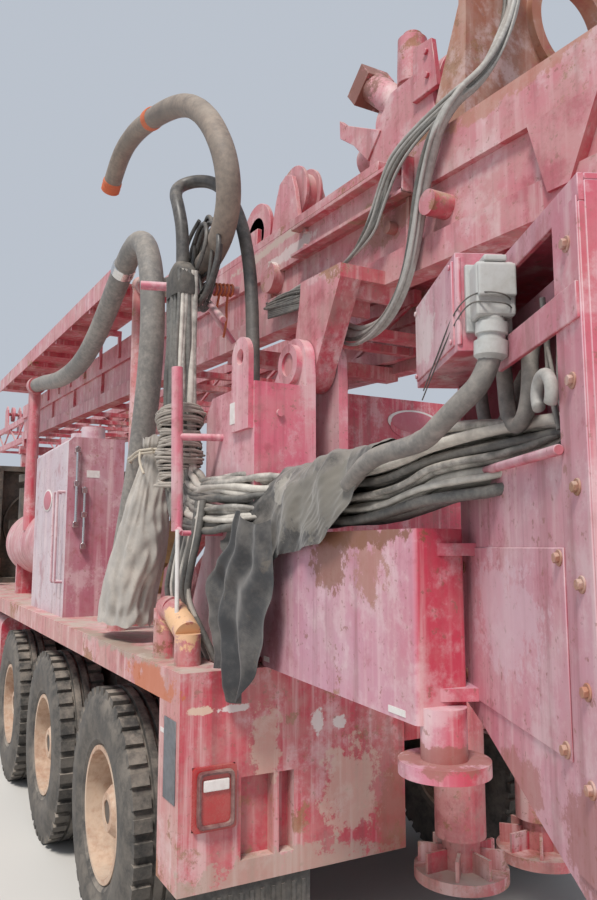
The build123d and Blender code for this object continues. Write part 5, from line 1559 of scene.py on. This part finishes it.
@dataclass
class LooseLines(Part):
    """The small lines, ropes, tapes and the pole round the hinge.

    Attributes:
        loops: Number of loops of thin hose beside the mast.
        drops: Number of hoses that hang to the deck.
        seed: Seed of their unevenness.
    """

    loops: int = 7
    drops: int = 9
    seed: int = 23

    def coil(self, chance: random.Random) -> None:
        """Black loops of thin hose that hang round the bar beside the mast."""
        routes = []
        for n in range(self.loops):
            x, z = 470 + chance.uniform(-60, 110), 2960 + chance.uniform(-70, 50)
            wide, tall = chance.uniform(110, 200), chance.uniform(120, 210)
            start = chance.uniform(0, 6.28)
            spots = []
            for k in range(13):
                angle = start + tau * k / 9
                spots.append((x + wide * cos(angle) + chance.uniform(-14, 14),
                              985 + 14 * n + 22 * sin(angle * 0.7),
                              z + tall * sin(angle) + chance.uniform(-14, 14)))
            routes.append((spots, chance.choice((0.014, 0.018, 0.022))))
        self.lines("coiled_hoses", chassis, routes, HOSE_BLACK)

    def hanging(self, chance: random.Random) -> None:
        """Thin hoses that drop from the pack to the deck behind the pole."""
        # The pale hanging hoses are partly dust and partly painted highlight.
        for name, finish, first in (("hanging_hoses", CABLE_DARK, 0),
                                    ("pale_hanging_hoses", HOSE_PALE, 1)):
            routes = []
            for n in range(first, self.drops, 2):
                x = 150 + 26 * n
                sag = chance.uniform(60, 130)
                routes.append(([(x, 1150, 1880), (x - 12, 1168, 1760), (x + sag * 0.4, 1178, 1640),
                                (x + sag, 1172, 1520), (x + sag * 0.6, 1120, 1400),
                                (x + 30, 1080, 1298)], chance.choice((0.016, 0.02, 0.026))))
            self.lines(name, chassis, routes, finish)

    def ropes(self) -> None:
        """The white pole, and the orange rope round the bar with its loose ends."""
        self.lines("white_pole", chassis, [
            ([(250, 1206, 1292), (235, 1214, 1530), (220, 1222, 1775)], 0.017)], SIGN_WHITE)
        turns = []
        for n in range(5):
            x, y = 610 + 5 * n, 852 + 14 * n
            turns.append(([(x + 27 * cos(a), y + 3 * n, 2870 + 27 * sin(a))
                           for a in [pi * k / 4 for k in range(9)]], 0.012))
        turns.append(([(612, 866, 2850), (622, 870, 2790), (600, 874, 2720), (625, 880, 2650)],
                      0.011))
        turns.append(([(630, 900, 2850), (640, 908, 2800), (665, 900, 2760)], 0.011))
        self.lines("orange_rope", chassis, turns, ROPE_ORANGE)

    def bands(self) -> None:
        """The tapes round the loop hose and the clamp of the riser."""
        for name, start, end, radius, finish in (
                ("end_tape", (1846, 1110, 3816), (1786, 1110, 3856), 0.054, ROPE_ORANGE),
                ("top_tape", (1106, 1100, 3884), (1040, 1100, 3866), 0.054, ROPE_ORANGE),
                ("riser_clamp", (1560, 1100, 3214), (1500, 1100, 3240), 0.064, CHROME)):
            self.palette.put(turned_part(name, chassis(*start), chassis(*end), [
                (share, radius + grow) for share, grow in (
                    (0, -0.004), (0.06, 0), (0.3, -0.001), (0.34, 0.001), (0.64, -0.001),
                    (0.68, 0.001), (0.94, 0), (1, -0.004))]), finish, "root")

    def build(self) -> None:
        """Make every loose line."""
        chance = random.Random(self.seed)
        self.coil(chance)
        self.hanging(chance)
        self.ropes()
        self.bands()


class Cushions(Part):
    """The crowned seat and back cushions of the cab."""

    def pad(self, name: str, centre: tuple[float, float, float],
            size: tuple[float, float, float]) -> bpy.types.Object:
        """One stuffed cushion with drawn-in sides, in millimetres."""
        bm = bmesh.new()
        bmesh.ops.create_cube(bm, size=2)
        bmesh.ops.subdivide_edges(bm, edges=bm.edges[:], cuts=7, use_grid_fill=True)
        for vert in bm.verts:
            x, y, z = vert.co
            crown = (1 - x * x * 0.45) * (1 - y * y * 0.45) * (1 - z * z * 0.45)
            pull = 1 - 0.05 * cos(pi * z / 2)
            ridge = 0.012 * cos(6 * pi * y) * (1 - abs(z) * 0.2)
            vert.co = Vector((x * pull, y * pull, z)) * (0.82 + 0.2 * crown + ridge)
        bmesh.ops.scale(bm, vec=Vector(size) / 2000, verts=bm.verts)
        bmesh.ops.translate(bm, vec=chassis(*centre), verts=bm.verts)
        obj = new_mesh(name, bm)
        modifier = obj.modifiers.new("smooth", "SUBSURF")
        modifier.levels = modifier.render_levels = 1
        self.palette.put(obj, SEAT_FABRIC, "root")
        return obj

    def build(self) -> None:
        """Make the cushions of both seats."""
        made = None
        for side, y in (("left", 870), ("right", -870)):
            made = self.pad(f"seat_cushion_{side}", (10600, y, 1320), (600, 500, 140))
            self.pad(f"back_cushion_{side}", (10345, y, 1695), (110, 480, 620))
        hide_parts("cab_seats")


class Studio:
    """Pale floor, soft light and the photograph's own view.

    Attributes:
        sky: Strength of the sky.
        sun: Strength of the sun.
        sun_angle: How wide the sun is, in degrees.
        floor_half: Half the side of the floor in metres.
    """

    sky: float = 0.62
    sun: float = 3.1
    sun_angle: float = 14
    floor_half: float = 60

    def floor(self) -> None:
        """A pale floor under the wheels."""
        bm = bmesh.new()
        bmesh.ops.create_grid(bm, x_segments=1, y_segments=1, size=self.floor_half)
        obj = new_mesh("studio_floor", bm, smooth=False)
        material = bpy.data.materials.new("studio_floor")
        material.use_nodes = True
        shader = material.node_tree.nodes["Principled BSDF"]
        shader.inputs["Base Color"].default_value = (0.62, 0.6, 0.57, 1)
        shader.inputs["Roughness"].default_value = 0.85
        obj.data.materials.append(material)

    def light(self) -> None:
        """An overcast sky and one soft sun."""
        world = bpy.data.worlds.new("sky")
        bpy.context.scene.world = world
        world.use_nodes = True
        back = world.node_tree.nodes["Background"]
        back.inputs["Color"].default_value = (0.8, 0.87, 0.98, 1)
        back.inputs["Strength"].default_value = self.sky
        sun = bpy.data.lights.new("sun", "SUN")
        sun.energy = self.sun
        sun.angle = radians(self.sun_angle)
        sun.color = (1.0, 0.96, 0.9)
        obj = bpy.data.objects.new("sun", sun)
        obj.rotation_euler = Vector((0.45, -0.5, -1.0)).to_track_quat("-Z", "Y").to_euler()
        bpy.context.scene.collection.objects.link(obj)

    def camera(self) -> None:
        """The camera that the photograph was taken with."""
        camera = bpy.data.cameras.new("photo_view")
        camera.lens = CAMERA_LENS
        camera.clip_end = 200
        obj = bpy.data.objects.new("photo_view", camera)
        obj.location = chassis(*CAMERA_AT)
        way = Vector((cos(CAMERA_YAW) * cos(CAMERA_PITCH),
                      -sin(CAMERA_YAW) * cos(CAMERA_PITCH), sin(CAMERA_PITCH)))
        obj.rotation_euler = way.to_track_quat("-Z", "Y").to_euler()
        scene = bpy.context.scene
        scene.collection.objects.link(obj)
        scene.camera = obj
        scene.render.resolution_x, scene.render.resolution_y = PHOTO_SIZE
        scene.view_settings.view_transform = "Standard"

    def build(self) -> None:
        """Floor, light and camera."""
        self.camera()
        self.floor()
        self.light()


def main() -> None:
    """Dress the rig."""
    logging.basicConfig(level=logging.INFO, format="%(name)s: %(message)s")
    palette = Palette(Groups())
    Studio().build()
    for part in (BigHoses, CadFinishes, Wheels, RotaryHead, ConsoleShell, RigFittings, HosePack,
                 ArmCover, Tarpaulin, ConsoleFittings, MastCables, LooseLines, Cushions):
        part(palette).build()


if __name__ == "__main__":
    main()
